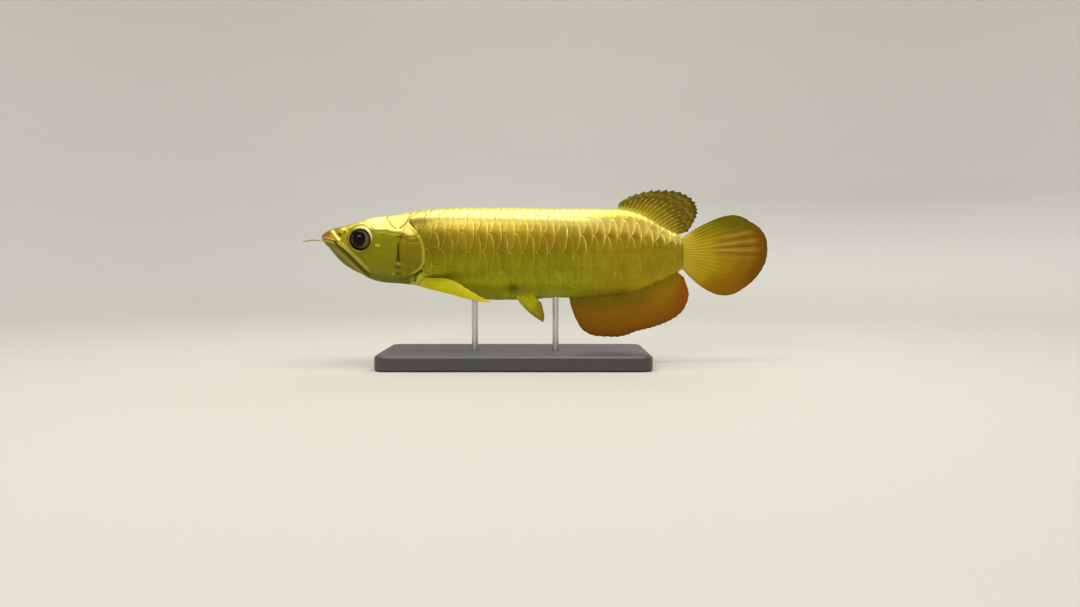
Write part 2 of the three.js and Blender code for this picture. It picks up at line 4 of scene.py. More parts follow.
import bpy
import numpy as np
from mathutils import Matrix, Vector

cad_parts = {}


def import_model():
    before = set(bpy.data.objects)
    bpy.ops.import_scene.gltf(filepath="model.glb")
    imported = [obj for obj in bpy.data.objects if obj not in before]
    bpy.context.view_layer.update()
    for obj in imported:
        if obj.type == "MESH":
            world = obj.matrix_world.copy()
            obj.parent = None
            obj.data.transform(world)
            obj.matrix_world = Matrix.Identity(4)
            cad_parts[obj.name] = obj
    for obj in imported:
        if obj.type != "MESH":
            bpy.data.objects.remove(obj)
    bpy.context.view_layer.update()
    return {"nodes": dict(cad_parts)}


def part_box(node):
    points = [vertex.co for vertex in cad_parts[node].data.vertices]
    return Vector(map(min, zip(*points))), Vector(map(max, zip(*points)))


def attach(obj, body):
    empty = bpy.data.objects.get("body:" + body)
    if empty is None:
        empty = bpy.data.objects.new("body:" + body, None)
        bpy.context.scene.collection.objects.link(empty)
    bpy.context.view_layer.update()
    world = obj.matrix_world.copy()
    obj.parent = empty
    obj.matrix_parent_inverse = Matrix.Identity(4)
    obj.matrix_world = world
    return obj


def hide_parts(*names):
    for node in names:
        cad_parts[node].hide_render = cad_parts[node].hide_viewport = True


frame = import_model()
rng = np.random.default_rng(7)

# Where the solids put the fish: x back from the snout and z up from the axis, in millimetres
ROD_FRONT_X = 103.0
AXIS_HEIGHT = 74.01
rod_low, rod_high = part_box("stand_rod_front")
MIDDLE_X = ROD_FRONT_X - 500 * (rod_low[0] + rod_high[0])

HEAD_END = 58.0
NAPE = 60.0
CAUDAL_BASE = 245.0
SKIN_END = 246.4
TAIL_SINK = 2.3
EYE_X, EYE_Z, EYE_RADIUS, EYE_FLAT, EYE_OUT = 27.9, 10.1, 7.2, 4.4, 6.4

SCALE_ROWS = 12
SCALE_COLUMNS = 22
FIRST_PITCH = 9.5
LAST_PITCH = 7.6
ARC_REACH = 0.84
SCALE_LIFT = 0.8
SCALE_SLOPE = 0.055
SCALE_THICK = 0.22

BACK = [
    (0, 11.3), (0.7, 13.3), (2, 14.6), (5.4, 16.3), (8.8, 17.5), (15.5, 18.9), (22.2, 20.9), (29, 22.9),
    (35.7, 24.6), (49.2, 26), (62.7, 28.3), (79.6, 30.3), (100, 31), (130, 30.9), (160.5, 30.4),
    (187, 30.3), (199, 30.2), (207.7, 29), (214.4, 26.9), (221, 23.6), (228, 19.3), (235, 15.4),
    (241, 12.9), (246, 12),
]
BELLY = [
    (0, 11.3), (0.7, 9.8), (2, 8.5), (5.4, 5.2), (8.8, 0.9), (12.1, -3), (15.5, -6.1), (22.2, -10.3),
    (29, -13.5), (35.7, -16.8), (42.5, -18.2), (56, -19.2), (62.7, -20.4), (80, -24.4), (100, -28.4),
    (117, -29.9), (140, -29.4), (160.5, -28.4), (175, -28.4), (187, -28), (204, -26.3), (214.4, -23.4),
    (221, -20.7), (231, -16.2), (238, -12.4), (242, -10.3), (246, -9.6),
]
HALF_WIDTH = [
    (0, 0), (0.7, 2.3), (2, 3.7), (5.4, 5.4), (8.8, 6.4), (15.5, 7.8), (22, 8.9), (29, 9.9), (42, 11.7),
    (56, 13.1), (75, 13.9), (100, 14.4), (125, 14.3), (155, 13.1), (185, 10.9), (210, 8.2), (232, 5.6),
    (246, 4.4),
]
WIDEST_LEVEL = [(0, 11.3), (8, 10), (20, 8), (35, 6), (60, 5.5), (110, 5.5), (170, 4.5), (246, 1.4)]
UPPER_POWER = [(0, 2.1), (10, 2.5), (30, 3), (60, 3), (120, 2.7), (200, 2.3), (246, 2.2)]
LOWER_POWER = [(0, 2), (20, 2), (60, 1.9), (110, 1.75), (200, 1.8), (246, 2.1)]


def curve(points):
    """A smooth function through the points, with no overshoot between them."""
    xs, ys = np.array(points, float).T
    rise = np.diff(ys) / np.diff(xs)
    lean = np.zeros(len(xs))
    lean[0], lean[-1] = rise[0], rise[-1]
    before, after = rise[:-1], rise[1:]
    same = before * after > 0
    lean[1:-1][same] = 2 * before[same] * after[same] / (before + after)[same]

    def value(x):
        x = np.clip(np.asarray(x, float), xs[0], xs[-1])
        i = np.clip(np.searchsorted(xs, x) - 1, 0, len(xs) - 2)
        span = xs[i + 1] - xs[i]
        t = (x - xs[i]) / span
        return (
            ys[i] * (1 + 2 * t) * (1 - t) ** 2
            + lean[i] * span * t * (1 - t) ** 2
            + ys[i + 1] * t**2 * (3 - 2 * t)
            + lean[i + 1] * span * t**2 * (t - 1)
        )

    return value


back, belly, half_width = curve(BACK), curve(BELLY), curve(HALF_WIDTH)
widest_level = curve(WIDEST_LEVEL)
upper_power, lower_power = curve(UPPER_POWER), curve(LOWER_POWER)


def smooth(low, high, value):
    """From 0 at the first value to 1 at the second, which may be the lower one, with soft ends."""
    t = np.clip((value - low) / (high - low), 0, 1)
    return t * t * (3 - 2 * t)


def mix(a, b, share):
    """From a to b by the share; colours may be blended by a whole grid of shares."""
    a, b, share = np.asarray(a), np.asarray(b), np.asarray(share)
    is_colour = max(a.ndim, b.ndim) > 0 and (a.shape[-1:] == (3,) or b.shape[-1:] == (3,))
    if is_colour and share.ndim:
        share = share[..., None]
    return a + (b - a) * share


# The body's surface as a fine net of stations along it and places round it
BODY_END = 247.0
STATIONS = 900
PLACES = 600
STATION_CROWD = 1.5
OUTLINE_STEPS = 1440


def body_net():
    x = BODY_END * (np.arange(STATIONS) / (STATIONS - 1)) ** STATION_CROWD
    x[0] = 0.02
    angle = np.linspace(0, math.tau, OUTLINE_STEPS + 1)
    across, up = np.sin(angle)[None, :], np.cos(angle)[None, :]
    column = x[:, None]
    level = widest_level(column)
    power = np.where(up >= 0, upper_power(column), lower_power(column))
    reach = np.where(up >= 0, back(column) - level, level - belly(column))
    y = -half_width(column) * np.sign(across) * np.abs(across) ** (2 / power)
    z = level + reach * np.sign(up) * np.abs(up) ** (2 / power)
    step = np.hypot(np.diff(y, axis=1), np.diff(z, axis=1))
    far = np.concatenate([np.zeros((STATIONS, 1)), np.cumsum(step, axis=1)], axis=1)
    share = np.linspace(0, 1, PLACES + 1)
    net = np.zeros((STATIONS, PLACES + 1, 3))
    for i in range(STATIONS):
        goal = share * far[i, -1]
        net[i, :, 0] = x[i]
        net[i, :, 1] = np.interp(goal, far[i], y[i])
        net[i, :, 2] = np.interp(goal, far[i], z[i])
    along = np.gradient(net, axis=0)
    ring = np.concatenate([net[:, -2:-1], net, net[:, 1:2]], axis=1)
    around = (ring[:, 2:] - ring[:, :-2]) / 2
    normal = np.cross(around, along)
    normal /= np.linalg.norm(normal, axis=2, keepdims=True) + 1e-12
    return net, normal


NET, NORMAL = body_net()


def on_body(x, share, lift=0.0):
    """Points on the body's surface, moved out from it by the lift."""
    x, share, lift = np.broadcast_arrays(np.asarray(x, float), np.asarray(share, float), lift)
    row = (np.clip(x, 0.0, BODY_END) / BODY_END) ** (1 / STATION_CROWD) * (STATIONS - 1)
    column = (share % 1.0) * PLACES
    i = np.clip(row.astype(int), 0, STATIONS - 2)
    j = np.clip(column.astype(int), 0, PLACES - 1)
    a, b = (row - i)[..., None], (column - j)[..., None]

    def blend(table):
        near = table[i, j] * (1 - b) + table[i, j + 1] * b
        far = table[i + 1, j] * (1 - b) + table[i + 1, j + 1] * b
        return near * (1 - a) + far * a

    point, normal = blend(NET), blend(NORMAL)
    normal /= np.linalg.norm(normal, axis=-1, keepdims=True) + 1e-12
    return point + normal * lift[..., None]


def tail_sink(x, share):
    """How far skin and scales sink at the tail's root, so that they end inside the tail fin."""
    on_side = np.abs(np.sin(math.tau * np.asarray(share)))
    return TAIL_SINK * smooth(237, SKIN_END, x) * mix(0.2, 1.0, smooth(0.1, 0.75, on_side))


def world(points):
    """From millimetres on the fish to metres in the frame."""
    points = np.asarray(points, float)
    return (points + np.array([-MIDDLE_X, 0, AXIS_HEIGHT])) / 1000


def rgb(red, green, blue):
    """A colour given as on a screen, turned to light values."""
    value = np.array([red, green, blue]) / 255
    return np.where(value <= 0.04045, value / 12.92, ((value + 0.055) / 1.055) ** 2.4)


def make_mesh(name, points, faces, material, paint=None, extra=None, bake=None):
    """A mesh object from points in millimetres; paint and extra are per point, bake is per corner."""
    faces = np.asarray(faces, np.int32)
    mesh = bpy.data.meshes.new(name)
    mesh.vertices.add(len(points))
    mesh.vertices.foreach_set("co", world(points).astype(np.float32).ravel())
    size = faces.shape[1]
    mesh.loops.add(faces.size)
    mesh.loops.foreach_set("vertex_index", faces.ravel())
    mesh.polygons.add(len(faces))
    mesh.polygons.foreach_set("loop_start", np.arange(0, faces.size, size, dtype=np.int32))
    mesh.polygons.foreach_set("loop_total", np.full(len(faces), size, np.int32))
    mesh.update(calc_edges=True)
    mesh.polygons.foreach_set("use_smooth", np.full(len(faces), True))
    if paint is not None:
        layer = mesh.attributes.new("Paint", "FLOAT_COLOR", "POINT")
        values = np.ones((len(points), 4), np.float32)
        values[:, :3] = paint
        layer.data.foreach_set("color", values.ravel())
    for key, values in (extra or {}).items():
        layer = mesh.attributes.new(key, "FLOAT", "POINT")
        layer.data.foreach_set("value", np.asarray(values, np.float32).ravel())
    if bake is not None:
        layer = mesh.uv_layers.new(name="OFBake")
        layer.data.foreach_set("uv", np.asarray(bake, np.float32).ravel())
    mesh.materials.append(material)
    thing = bpy.data.objects.new(name, mesh)
    bpy.context.scene.collection.objects.link(thing)
    return thing


def grid_faces(rows, columns, start=0, closed=False, flip=False):
    """Quads of a grid of points stored row by row; closed joins the last column to the first."""
    i, j = np.meshgrid(np.arange(rows - 1), np.arange(columns if closed else columns - 1), indexing="ij")
    a = i * columns + j
    b = i * columns + (j + 1) % columns
    quads = np.stack([a, b, b + columns, a + columns], axis=-1).reshape(-1, 4) + start
    return quads[:, ::-1] if flip else quads


def plate_faces(rows, columns, flip=False):
    """Quads of a closed thin plate: its first face, its second face and the strip round its edge."""
    count = rows * columns
    loop = list(range(columns))
    loop += [i * columns + columns - 1 for i in range(1, rows)]
    loop += [(rows - 1) * columns + j for j in range(columns - 2, -1, -1)]
    loop += [i * columns for i in range(rows - 2, 0, -1)]
    ahead = np.roll(loop, -1)
    strip = np.stack([ahead, loop, np.array(loop) + count, ahead + count], axis=-1)
    return np.concatenate([
        grid_faces(rows, columns, flip=flip), grid_faces(rows, columns, start=count, flip=not flip),
        strip[:, ::-1] if flip else strip,
    ])


def distance_to(path, x, z):
    best = np.full(np.shape(x), 1e9)
    for (ax, az), (bx, bz) in zip(path[:-1], path[1:]):
        length = (bx - ax) ** 2 + (bz - az) ** 2
        t = np.clip(((x - ax) * (bx - ax) + (z - az) * (bz - az)) / length, 0, 1)
        best = np.minimum(best, np.hypot(x - ax - t * (bx - ax), z - az - t * (bz - az)))
    return best


def inside(outline, x, z):
    within = np.zeros(np.shape(x), bool)
    for (ax, az), (bx, bz) in zip(outline, outline[1:] + outline[:1]):
        if az == bz:
            continue
        crosses = (az > z) != (bz > z)
        within ^= crosses & (x < (bx - ax) * (z - az) / (bz - az) + ax)
    return within


def softly(path, steps=8):
    """The same path rounded off at its corners."""
    points = np.array(path, float)
    t = np.arange(len(points))
    fine = np.linspace(0, len(points) - 1, steps * (len(points) - 1) + 1)
    xs, zs = [curve(list(zip(t, points[:, i])))(fine) for i in (0, 1)]
    return list(zip(xs, zs))


# Lines of the head, seen from the side
MOUTH = softly([
    (-4, 11), (2, 10.6), (6.5, 10.2), (9.8, 9.2), (12, 7.4), (14.7, 5.4), (19.3, 1.6), (24.2, -3),
    (28.5, -7.3), (33.8, -12.4),
])
SNOUT_FOLD = softly([(8.2, 15.6), (11, 12.9), (14, 10)])
JAW_SEAM = softly([(26.4, 0.4), (29.2, -2.2), (31.6, -5)])
GILL_REAR = softly([
    (59.4, 21.4), (64, 17.8), (67.1, 14.6), (69.4, 11), (71, 6.6), (71.6, 1.6), (71.6, -3.6),
    (70, -8), (66.2, -11.4), (61.6, -13.8), (55.4, -15.2),
])
GILL_FRONT = softly([
    (55.4, -15.2), (54.8, -9.6), (53.6, -4), (53.2, 3.4), (53.3, 8.1), (54.4, 13), (56.6, 17.6),
    (59.4, 21.4),
])
CHEEK_SLIT = softly([(53.7, 7.2), (53.5, 2), (53.4, -4.2)])
TEMPLE = softly([
    (36.2, 17), (41, 16.6), (46.1, 16.5), (49.4, 15.4), (56.1, 14.6), (61.7, 12.4), (67.4, 13.8),
])
AXIL_FOLD = softly([(72.5, -9.4), (68.2, -10.9), (65, -13.2), (63.7, -17.5)])
SKULL_SEAMS = [
    softly([(45.2, 26), (45.9, 22.9), (47.5, 21.2), (49.3, 19), (52.2, 17.2)]),
    softly([(54.6, 17.2), (56.7, 19.1), (58.7, 20.6), (60, 25)]),
    softly([(28.5, 23.2), (32, 20.4), (36.2, 17)]),
]
CHEEK_FURROWS = [
    softly([(35.8, 4.4), (40, 2.8), (45.6, 2.4), (52.6, 3.6)]),
    softly([(33, 0.4), (37, -4.8), (41.4, -8.6), (48, -11.4)]),
    softly([(54.6, 11.4), (58.6, 9.8), (63.4, 8.4), (68, 8.6)]),
]
GULAR_FOLDS = [
    softly([(38, -15.6), (47, -16.6), (57, -16.8), (66, -14.6)]),
    softly([(38, -16.6), (47, -17.8), (57, -18.3), (66, -17)]),
]
NOSTRILS = ((14.0, 13.6, 0.8), (17.4, 15.2, 0.5))

# Small swellings and hollows of the head: how far out, then the middle's x and z, width and height
HEAD_BUMPS = (
    (-0.35, 11.2, 8.5, 1.3, 0.8), (0.5, 53.8, -6.0, 2.2, 1.0), (-0.6, 52.8, -8.3, 2.2, 1.1),
    (0.4, 49.9, -12.4, 1.0, 0.9), (-0.5, 53.1, -12.4, 1.5, 0.8),
)


def swell(x, z, middle_x, middle_z, wide, high):
    """A soft round patch, 1 at its middle and 0 outside."""
    return np.exp(-(((x - middle_x) / wide) ** 2) - ((z - middle_z) / high) ** 2)


def ridge_of(distance, width):
    return np.exp(-((distance / width) ** 2))


class HeadLines:
    """Distances from each skin point to the head's lines, worked out once."""

    def __init__(self, x, y, z):
        def far(path):
            return distance_to(path, x, z)

        self.x, self.y, self.z = x, y, z
        self.side = smooth(1.5, 4, np.abs(y))
        self.mouth = far(MOUTH)
        self.above_mouth = z > np.interp(x, *zip(*MOUTH))
        self.in_mouth = smooth(34.6, 32, x)
        self.temple = far(TEMPLE)
        above = z - np.interp(x, *zip(*TEMPLE))
        self.over_temple = smooth(-1.1, 1.2, above) * smooth(35, 38, x) * smooth(68, 66, x)
        self.eye = np.hypot(x - EYE_X, z - EYE_Z)
        self.eye_turn = np.degrees(np.arctan2(z - EYE_Z, x - EYE_X))
        self.gill = far(GILL_REAR)
        self.in_gill = inside(GILL_REAR + GILL_FRONT[1:-1], x, z)
        self.gill_front = far(GILL_FRONT)
        self.slit = far(CHEEK_SLIT)
        self.slit_width = mix(0.35, 0.95, smooth(7.2, -3.6, z))
        self.seams = [far(path) for path in SKULL_SEAMS]
        self.furrows = [far(path) for path in CHEEK_FURROWS]
        self.folds = [far(path) for path in GULAR_FOLDS]
        self.snout_fold = far(SNOUT_FOLD)
        self.jaw_seam = far(JAW_SEAM)
        self.axil = far(AXIL_FOLD)


def head_relief(h):
    """How far the head's skin stands out from the plain surface, in millimetres."""
    x, z, side = h.x, h.z, h.side
    lift = 0.3 * (1 - smooth(NAPE - 1.5, NAPE + 1.2, x)) * smooth(1, 8, x)
    upper_lip = h.above_mouth * h.in_mouth * smooth(1, 6, x)
    lift += 0.6 * upper_lip * smooth(3.3, 2.3, h.mouth)
    lift += 0.2 * upper_lip * ridge_of(h.mouth - 0.7, 0.6)
    lower_lip = ~h.above_mouth * h.in_mouth
    lift -= 0.5 * lower_lip * smooth(6, 12, x) * smooth(3.0, 1.2, h.mouth)
    lift += 0.3 * lower_lip * ridge_of(h.mouth - 3.5, 1.0)
    lift -= 1.1 * h.in_mouth * mix(0.5, 1.0, smooth(7, 11, x)) * ridge_of(h.mouth, 0.3)
    lift -= 0.22 * side * ridge_of(h.jaw_seam, 0.35)
    lift += 0.5 * side * ridge_of(h.snout_fold, 0.9)
    for seam in h.seams:
        lift -= 0.42 * ridge_of(seam, 0.45)
    for furrow in h.furrows:
        lift -= 0.14 * side * ridge_of(furrow, 0.85)
    for fold in h.folds:
        lift -= 0.3 * ridge_of(fold, 0.45) * smooth(40, 45, x) * smooth(66, 62, x)
    lift += 0.25 * h.over_temple * side
    lift -= 0.18 * side * ridge_of(h.temple - 0.9, 0.7) * (1 - h.over_temple) * smooth(35, 38, x)
    for spot_x, spot_z, radius in NOSTRILS:
        reach = np.hypot(x - spot_x, z - spot_z)
        lift += 0.4 * side * ridge_of(reach - radius - 0.4, 0.38)
        lift -= 1.1 * side * ridge_of(reach, 0.62 * radius + 0.12)
    lift += side * (0.6 * ridge_of(h.eye - 7.95, 0.65) - 4.2 * smooth(7.35, 6.2, h.eye))
    lift -= 0.22 * side * ridge_of(h.eye - 9.5, 0.6) * smooth(10, 40, h.eye_turn)
    signed = np.where(h.in_gill, h.gill, -h.gill)
    cover = smooth(-0.35, 0.75, signed)
    cover *= np.where(h.in_gill, smooth(0, 3.4, h.gill_front), smooth(54, 58, x))
    lift += side * (1.1 * cover + 0.22 * h.in_gill * ridge_of(h.gill - 1.1, 0.9) * smooth(57, 62, x))
    lift -= 0.8 * side * ridge_of(h.slit, h.slit_width)
    for height, *place in HEAD_BUMPS:
        lift += height * side * swell(x, z, *place)
    root = ridge_of(x - 67.4, 3.2) * smooth(-12.4, -15.4, z) * smooth(2.2, 4.6, np.abs(h.y))
    return lift + 1.7 * root - 0.6 * side * ridge_of(h.axil, 0.7)


def stops(value, *marks):
    """A colour running smoothly from mark to mark, each mark a value with red, green and blue."""
    colour = rgb(*marks[0][1:])
    for (low, *_), (high, *after) in zip(marks[:-1], marks[1:]):
        colour = mix(colour, rgb(*after), smooth(low, high, value))
    return colour


def overlay(colour, *layers):
    """The colour with others laid over it in turn, each red, green and blue with its strength."""
    for *tint, strength in layers:
        colour = mix(colour, rgb(*tint), strength)
    return colour


def row_of(share):
    """The scale row a place round the body belongs to: 0 on the back, 6 on the belly."""
    turn = (np.asarray(share) % 1.0) * SCALE_ROWS
    return np.minimum(turn, SCALE_ROWS - turn)


def light_row(x, row):
    """The row whose light a place takes: toward the tail the bright back ends higher up."""
    below_light = smooth(mix(1.65, 1.0, smooth(205, 232, x)), 2.1, row) * smooth(5.2, 3, row)
    return row + below_light * (0.45 * smooth(172, 186, x) + 0.65 * smooth(208, 238, x))


def flank_paint(x, share):
    """The body's colour by how far down the side it is: the pale band along the back is partly its own paler
    gold and partly a painted highlight of the overhead light, and the belly is painted lighter as painted
    light on the shaded underside.
    """
    row = light_row(x, row_of(share))
    # Pale first stops: partly painted highlight on the back; light last stops: painted light on the
    # underside.
    front = stops(
        row, (0.85, 246, 236, 126), (1.12, 252, 242, 146), (1.34, 214, 194, 96), (1.67, 174, 148, 48),
        (2.25, 149, 126, 18), (3.0, 137, 123, 8), (4.0, 142, 137, 12), (4.9, 158, 156, 20),
        (6, 226, 222, 66),
    )
    rear = stops(
        row, (0.7, 208, 188, 84), (1.2, 224, 198, 92), (1.6, 218, 190, 80), (2.1, 190, 160, 50),
        (2.6, 164, 138, 22), (3.4, 156, 134, 16), (4.6, 150, 131, 14), (5.8, 184, 154, 14),
    )
    behind_gill = swell(x, row, 66, 1.6, 9, 0.55) + 0.8 * swell(x, row, 77, 2.8, 14, 1.1)
    colour = mix(front, rear, smooth(165, 200, x))
    return overlay(colour, (106, 92, 2, 0.85 * np.clip(behind_gill, 0, 1)))


def body_marks_and_shade(x, share, colour):
    """Places of the body with a colour of their own, over scales and skin alike, and painted shade: a
    painted shadow in the pelvic fin's axil, the lateral line toward the tail, a paler end at the tail fin
    and painted shade along the anal fin's root.
    """
    row = row_of(share)
    toward_tail = smooth(203, 228, x)
    line = ridge_of(row - mix(3.02, 2.45, toward_tail), mix(0.09, 0.24, toward_tail))
    line = line * mix(0.2, 0.36, smooth(203, 220, x)) * smooth(150, 205, x) * smooth(242, 230, x)
    # Painted shade along the anal fin's root, under the belly.
    anal_root_shade = smooth(5.05, 5.75, row) * smooth(160, 176, x) * smooth(242, 232, x)
    # First layer: painted shadow in the pelvic fin's axil.
    return overlay(
        colour, (84, 80, 4, 0.85 * swell(x, row, 128.8, 5.05, 4.2, 0.28)), (104, 82, 8, line),
        (176, 150, 40, 0.85 * smooth(241, SKIN_END, x)), (98, 84, 2, 0.3 * anal_root_shade),
    )


def head_paint(h, share):
    x, z, side = h.x, h.z, h.side
    on_head = np.maximum(1 - smooth(NAPE - 2, NAPE + 2, x), h.in_gill * 1.0)
    cheek = mix(rgb(124, 118, 8), rgb(122, 120, 26), smooth(2, -12, z))
    cheek = overlay(cheek, (122, 109, 4, smooth(52, 56, x) * smooth(-14, -8, z)))
    # The pale top of the head is partly its own paler gold and partly a painted highlight of the overhead
    # light.
    top = stops(x, (22, 206, 186, 70), (35, 250, 238, 140), (48, 248, 230, 120), (62, 240, 214, 104))
    on_top = np.clip(h.over_temple + smooth(16.4, 18.6, z) * (x < 38), 0, 1)
    colour = mix(body_marks_and_shade(x, share, flank_paint(x, share)), mix(cheek, top, on_top), on_head)

    def patch(*place):
        return side * swell(x, z, *place)

    snout = smooth(22, 16, x) * smooth(2.5, 7.5, z)
    snout_tip = np.minimum(1, 1.3 * swell(x, z, 4.6, 12.6, 4.4, 2.6))
    colour = overlay(
        colour, (142, 124, 14, 0.9 * snout), (186, 134, 28, 0.6 * patch(18.6, 8.6, 2.4, 3.6)),
        (152, 92, 4, 0.95 * snout_tip), (250, 226, 122, 0.95 * side * ridge_of(h.snout_fold, 0.85)),
        (240, 226, 96, 0.9 * patch(16.6, 17.2, 2.0, 1.5)),
        (188, 178, 44, 0.75 * patch(19.6, 13.8, 1.7, 3.4)),
    )
    for spot_x, spot_z, radius in NOSTRILS:
        reach = np.hypot(x - spot_x, z - spot_z)
        colour = overlay(colour, (96, 62, 6, 0.85 * side * ridge_of(reach, radius)))

    jaw = np.where(h.above_mouth, 0.0, h.in_mouth)
    jaw = np.maximum(jaw, smooth(-10.5, -13.5, z) * smooth(30, 34, x) * smooth(46, 36, x))
    lower_lip = ~h.above_mouth * h.in_mouth * ridge_of(h.mouth - 3.7, 0.9) * smooth(8, 12, x)
    upper_lip = h.above_mouth * h.in_mouth * smooth(3.0, 2.2, h.mouth) * smooth(11, 16, x)
    front_lip = smooth(12, 9, x) * smooth(2.2, 1.2, h.mouth)
    # Painted shadow in the mouth's slit and under the upper jaw's overhang.
    mouth_shade = np.where(h.above_mouth, ridge_of(h.mouth, 0.35), 1 - smooth(1.9, 2.9, h.mouth))
    mouth_shade = mouth_shade * smooth(9, 12, x) * smooth(36, 32, x)
    colour = overlay(
        colour, (106, 103, 24, jaw), (150, 146, 62, 0.75 * lower_lip), (168, 160, 66, 0.75 * upper_lip),
        (196, 168, 84, 0.7 * front_lip), (72, 64, 4, 0.85 * mouth_shade),
        (60, 34, 2, 0.8 * patch(11.2, 8.5, 1.2, 0.8)), (92, 84, 16, 0.6 * side * ridge_of(h.jaw_seam, 0.4)),
        *((116, 96, 12, 0.75 * ridge_of(seam, 0.5)) for seam in h.seams[:2]),
    )

    ring = ridge_of(h.eye - 9.5, 0.7) * smooth(-20, 20, h.eye_turn)
    arc = smooth(-15, 20, h.eye_turn) * smooth(130, 95, h.eye_turn)
    # Painted highlight: a pale crescent on the eye's upper and rear rim, where its raised edge catches the
    # overhead light.
    eye_rim_highlight = arc * smooth(6.9, 7.2, h.eye) * smooth(8.9, 8.2, h.eye)
    colour = overlay(
        colour, (92, 80, 6, 0.6 * patch(43.1, 13.3, 1.6, 0.8)),
        (92, 72, 2, 0.75 * patch(56.4, 11.8, 4.6, 0.8)), (206, 200, 74, 0.8 * patch(39.9, 6.4, 1.3, 0.9)),
        (66, 58, 2, 0.95 * side * ridge_of(h.slit, 1.15 * h.slit_width)),
        (160, 152, 52, 0.8 * patch(54.0, -6.0, 2.0, 0.9)), (78, 70, 6, 0.85 * patch(52.8, -8.3, 2.0, 1.0)),
        (176, 170, 74, 0.8 * patch(49.9, -12.5, 0.9, 0.8)), (80, 74, 8, 0.8 * patch(53.1, -12.5, 1.4, 0.7)),
        (120, 112, 16, 0.8 * side * ring),
        (126, 120, 26, 0.8 * side * ridge_of(h.eye - 7.7, 0.8) * (1 - arc)),
        (226, 214, 152, 0.95 * eye_rim_highlight * side), (30, 22, 12, smooth(7.35, 6.9, h.eye) * side),
    )

    rim = h.in_gill * smooth(2.7, 1.5, h.gill) * smooth(-14, -10, z) * smooth(60, 64, x)
    # Painted shadow cast by the gill cover's rear edge on the body just behind it.
    under = ~h.in_gill * ridge_of(h.gill, 1.0) * smooth(59, 64, x) * smooth(18, 12, z)
    on_throat = smooth(40, 45, x) * smooth(66, 62, x)
    root = ridge_of(x - 67.4, 2.6) * smooth(-13.4, -15.4, z) * smooth(1.2, 3.2, np.abs(h.y))
    # The last layer is painted shade in the crease of the pectoral fin's axil.
    return overlay(
        colour, (180, 168, 50, 0.8 * rim * side), (76, 64, 2, 0.75 * under * side),
        *((96, 92, 28, 0.5 * ridge_of(fold, 0.6) * on_throat) for fold in h.folds),
        (190, 182, 56, 0.85 * root), (66, 56, 2, 0.85 * side * ridge_of(h.axil, 0.8)),
    )


# Materials
COAT_ROUGHNESS = 0.2
RING_STEP = 0.42
GOLD_GLOSS = (1.0, 0.85, 0.32)


def set_inputs(node, values):
    for key, value in values.items():
        node.inputs[key].default_value = value


def principled(name, base, metallic, roughness, specular=0.5, coat=0.0, tint=None):
    material = bpy.data.materials.new(name)
    material.use_nodes = True
    shader = material.node_tree.nodes["Principled BSDF"]
    set_inputs(shader, {
        "Metallic": metallic, "Roughness": roughness, "Specular IOR Level": specular,
        "Coat Weight": coat, "Coat Roughness": COAT_ROUGHNESS,
    })
    if base is not None:
        shader.inputs["Base Color"].default_value = (*base, 1)
    if tint is not None:
        shader.inputs["Specular Tint"].default_value = (*tint, 1)
    return material, material.node_tree, shader


def painted(name, metallic, roughness, specular, coat=0.0, tint=None, grain=0.0, grain_scale=900.0,
            mottle=0.0, rings=0.0):
    """A material that takes its colour from the mesh's own paint, a little uneven as skin is."""
    material, tree, shader = principled(name, None, metallic, roughness, specular, coat, tint)
    nodes, links = tree.nodes, tree.links
    place = nodes.new("ShaderNodeTexCoord")

    def own(attribute):
        node = nodes.new("ShaderNodeAttribute")
        node.attribute_name = attribute
        return node

    def noise_at(scale, detail):
        noise = nodes.new("ShaderNodeTexNoise")
        set_inputs(noise, {"Scale": scale, "Detail": detail})
        links.new(place.outputs["Object"], noise.inputs["Vector"])
        return noise.outputs["Fac"]

    def bump_by(height, strength, distance):
        bump = nodes.new("ShaderNodeBump")
        set_inputs(bump, {"Strength": strength, "Distance": distance})
        links.new(height, bump.inputs["Height"])
        links.new(bump.outputs["Normal"], shader.inputs["Normal"])
        return bump

    colour = own("Paint").outputs["Color"]
    for scale, amount in ((110.0, mottle), (520.0, 0.7 * mottle)):
        if not amount:
            continue
        spread = nodes.new("ShaderNodeMapRange")
        set_inputs(spread, {"From Min": 0.3, "From Max": 0.7, "To Min": 1 - amount, "To Max": 1 + amount})
        blend = nodes.new("ShaderNodeMix")
        blend.data_type = "RGBA"
        blend.blend_type = "MULTIPLY"
        blend.inputs["Factor"].default_value = 1.0
        links.new(noise_at(scale, 3), spread.inputs["Value"])
        links.new(colour, blend.inputs["A"])
        links.new(spread.outputs["Result"], blend.inputs["B"])
        colour = blend.outputs["Result"]
    links.new(colour, shader.inputs["Base Color"])
    if grain:
        coarse = bump_by(noise_at(grain_scale, 4), grain, 0.0003)
    if rings:
        turns = nodes.new("ShaderNodeMath")
        turns.operation = "MULTIPLY"
        turns.inputs[1].default_value = math.tau / RING_STEP
        wave = nodes.new("ShaderNodeMath")
        wave.operation = "SINE"
        links.new(own("Ring").outputs["Fac"], turns.inputs[0])
        links.new(turns.outputs["Value"], wave.inputs[0])
        fine = bump_by(wave.outputs["Value"], rings, 0.00004)
        links.new(coarse.outputs["Normal"], fine.inputs["Normal"])
    return material


skin_material = painted("skin", 0.45, 0.38, 0.35, 0.06, tint=GOLD_GLOSS, grain=0.3, mottle=0.07)
scale_material = painted("scales", 0.55, 0.35, 0.35, 0.06, tint=GOLD_GLOSS, grain=0.2,
                         grain_scale=1400, mottle=0.09, rings=0.08)
fin_material = painted("fins", 0.15, 0.5, 0.25, 0.0, tint=GOLD_GLOSS, mottle=0.05)
eye_material = painted("eye", 0.0, 0.06, 0.12)
barbel_material = painted("barbels", 0.0, 0.45, 0.3)


# One skin for all the flesh, finest on the head
HEAD_RINGS, TRUNK_RINGS, RING_POINTS = 320, 85, 420
FINE_END = 78.0


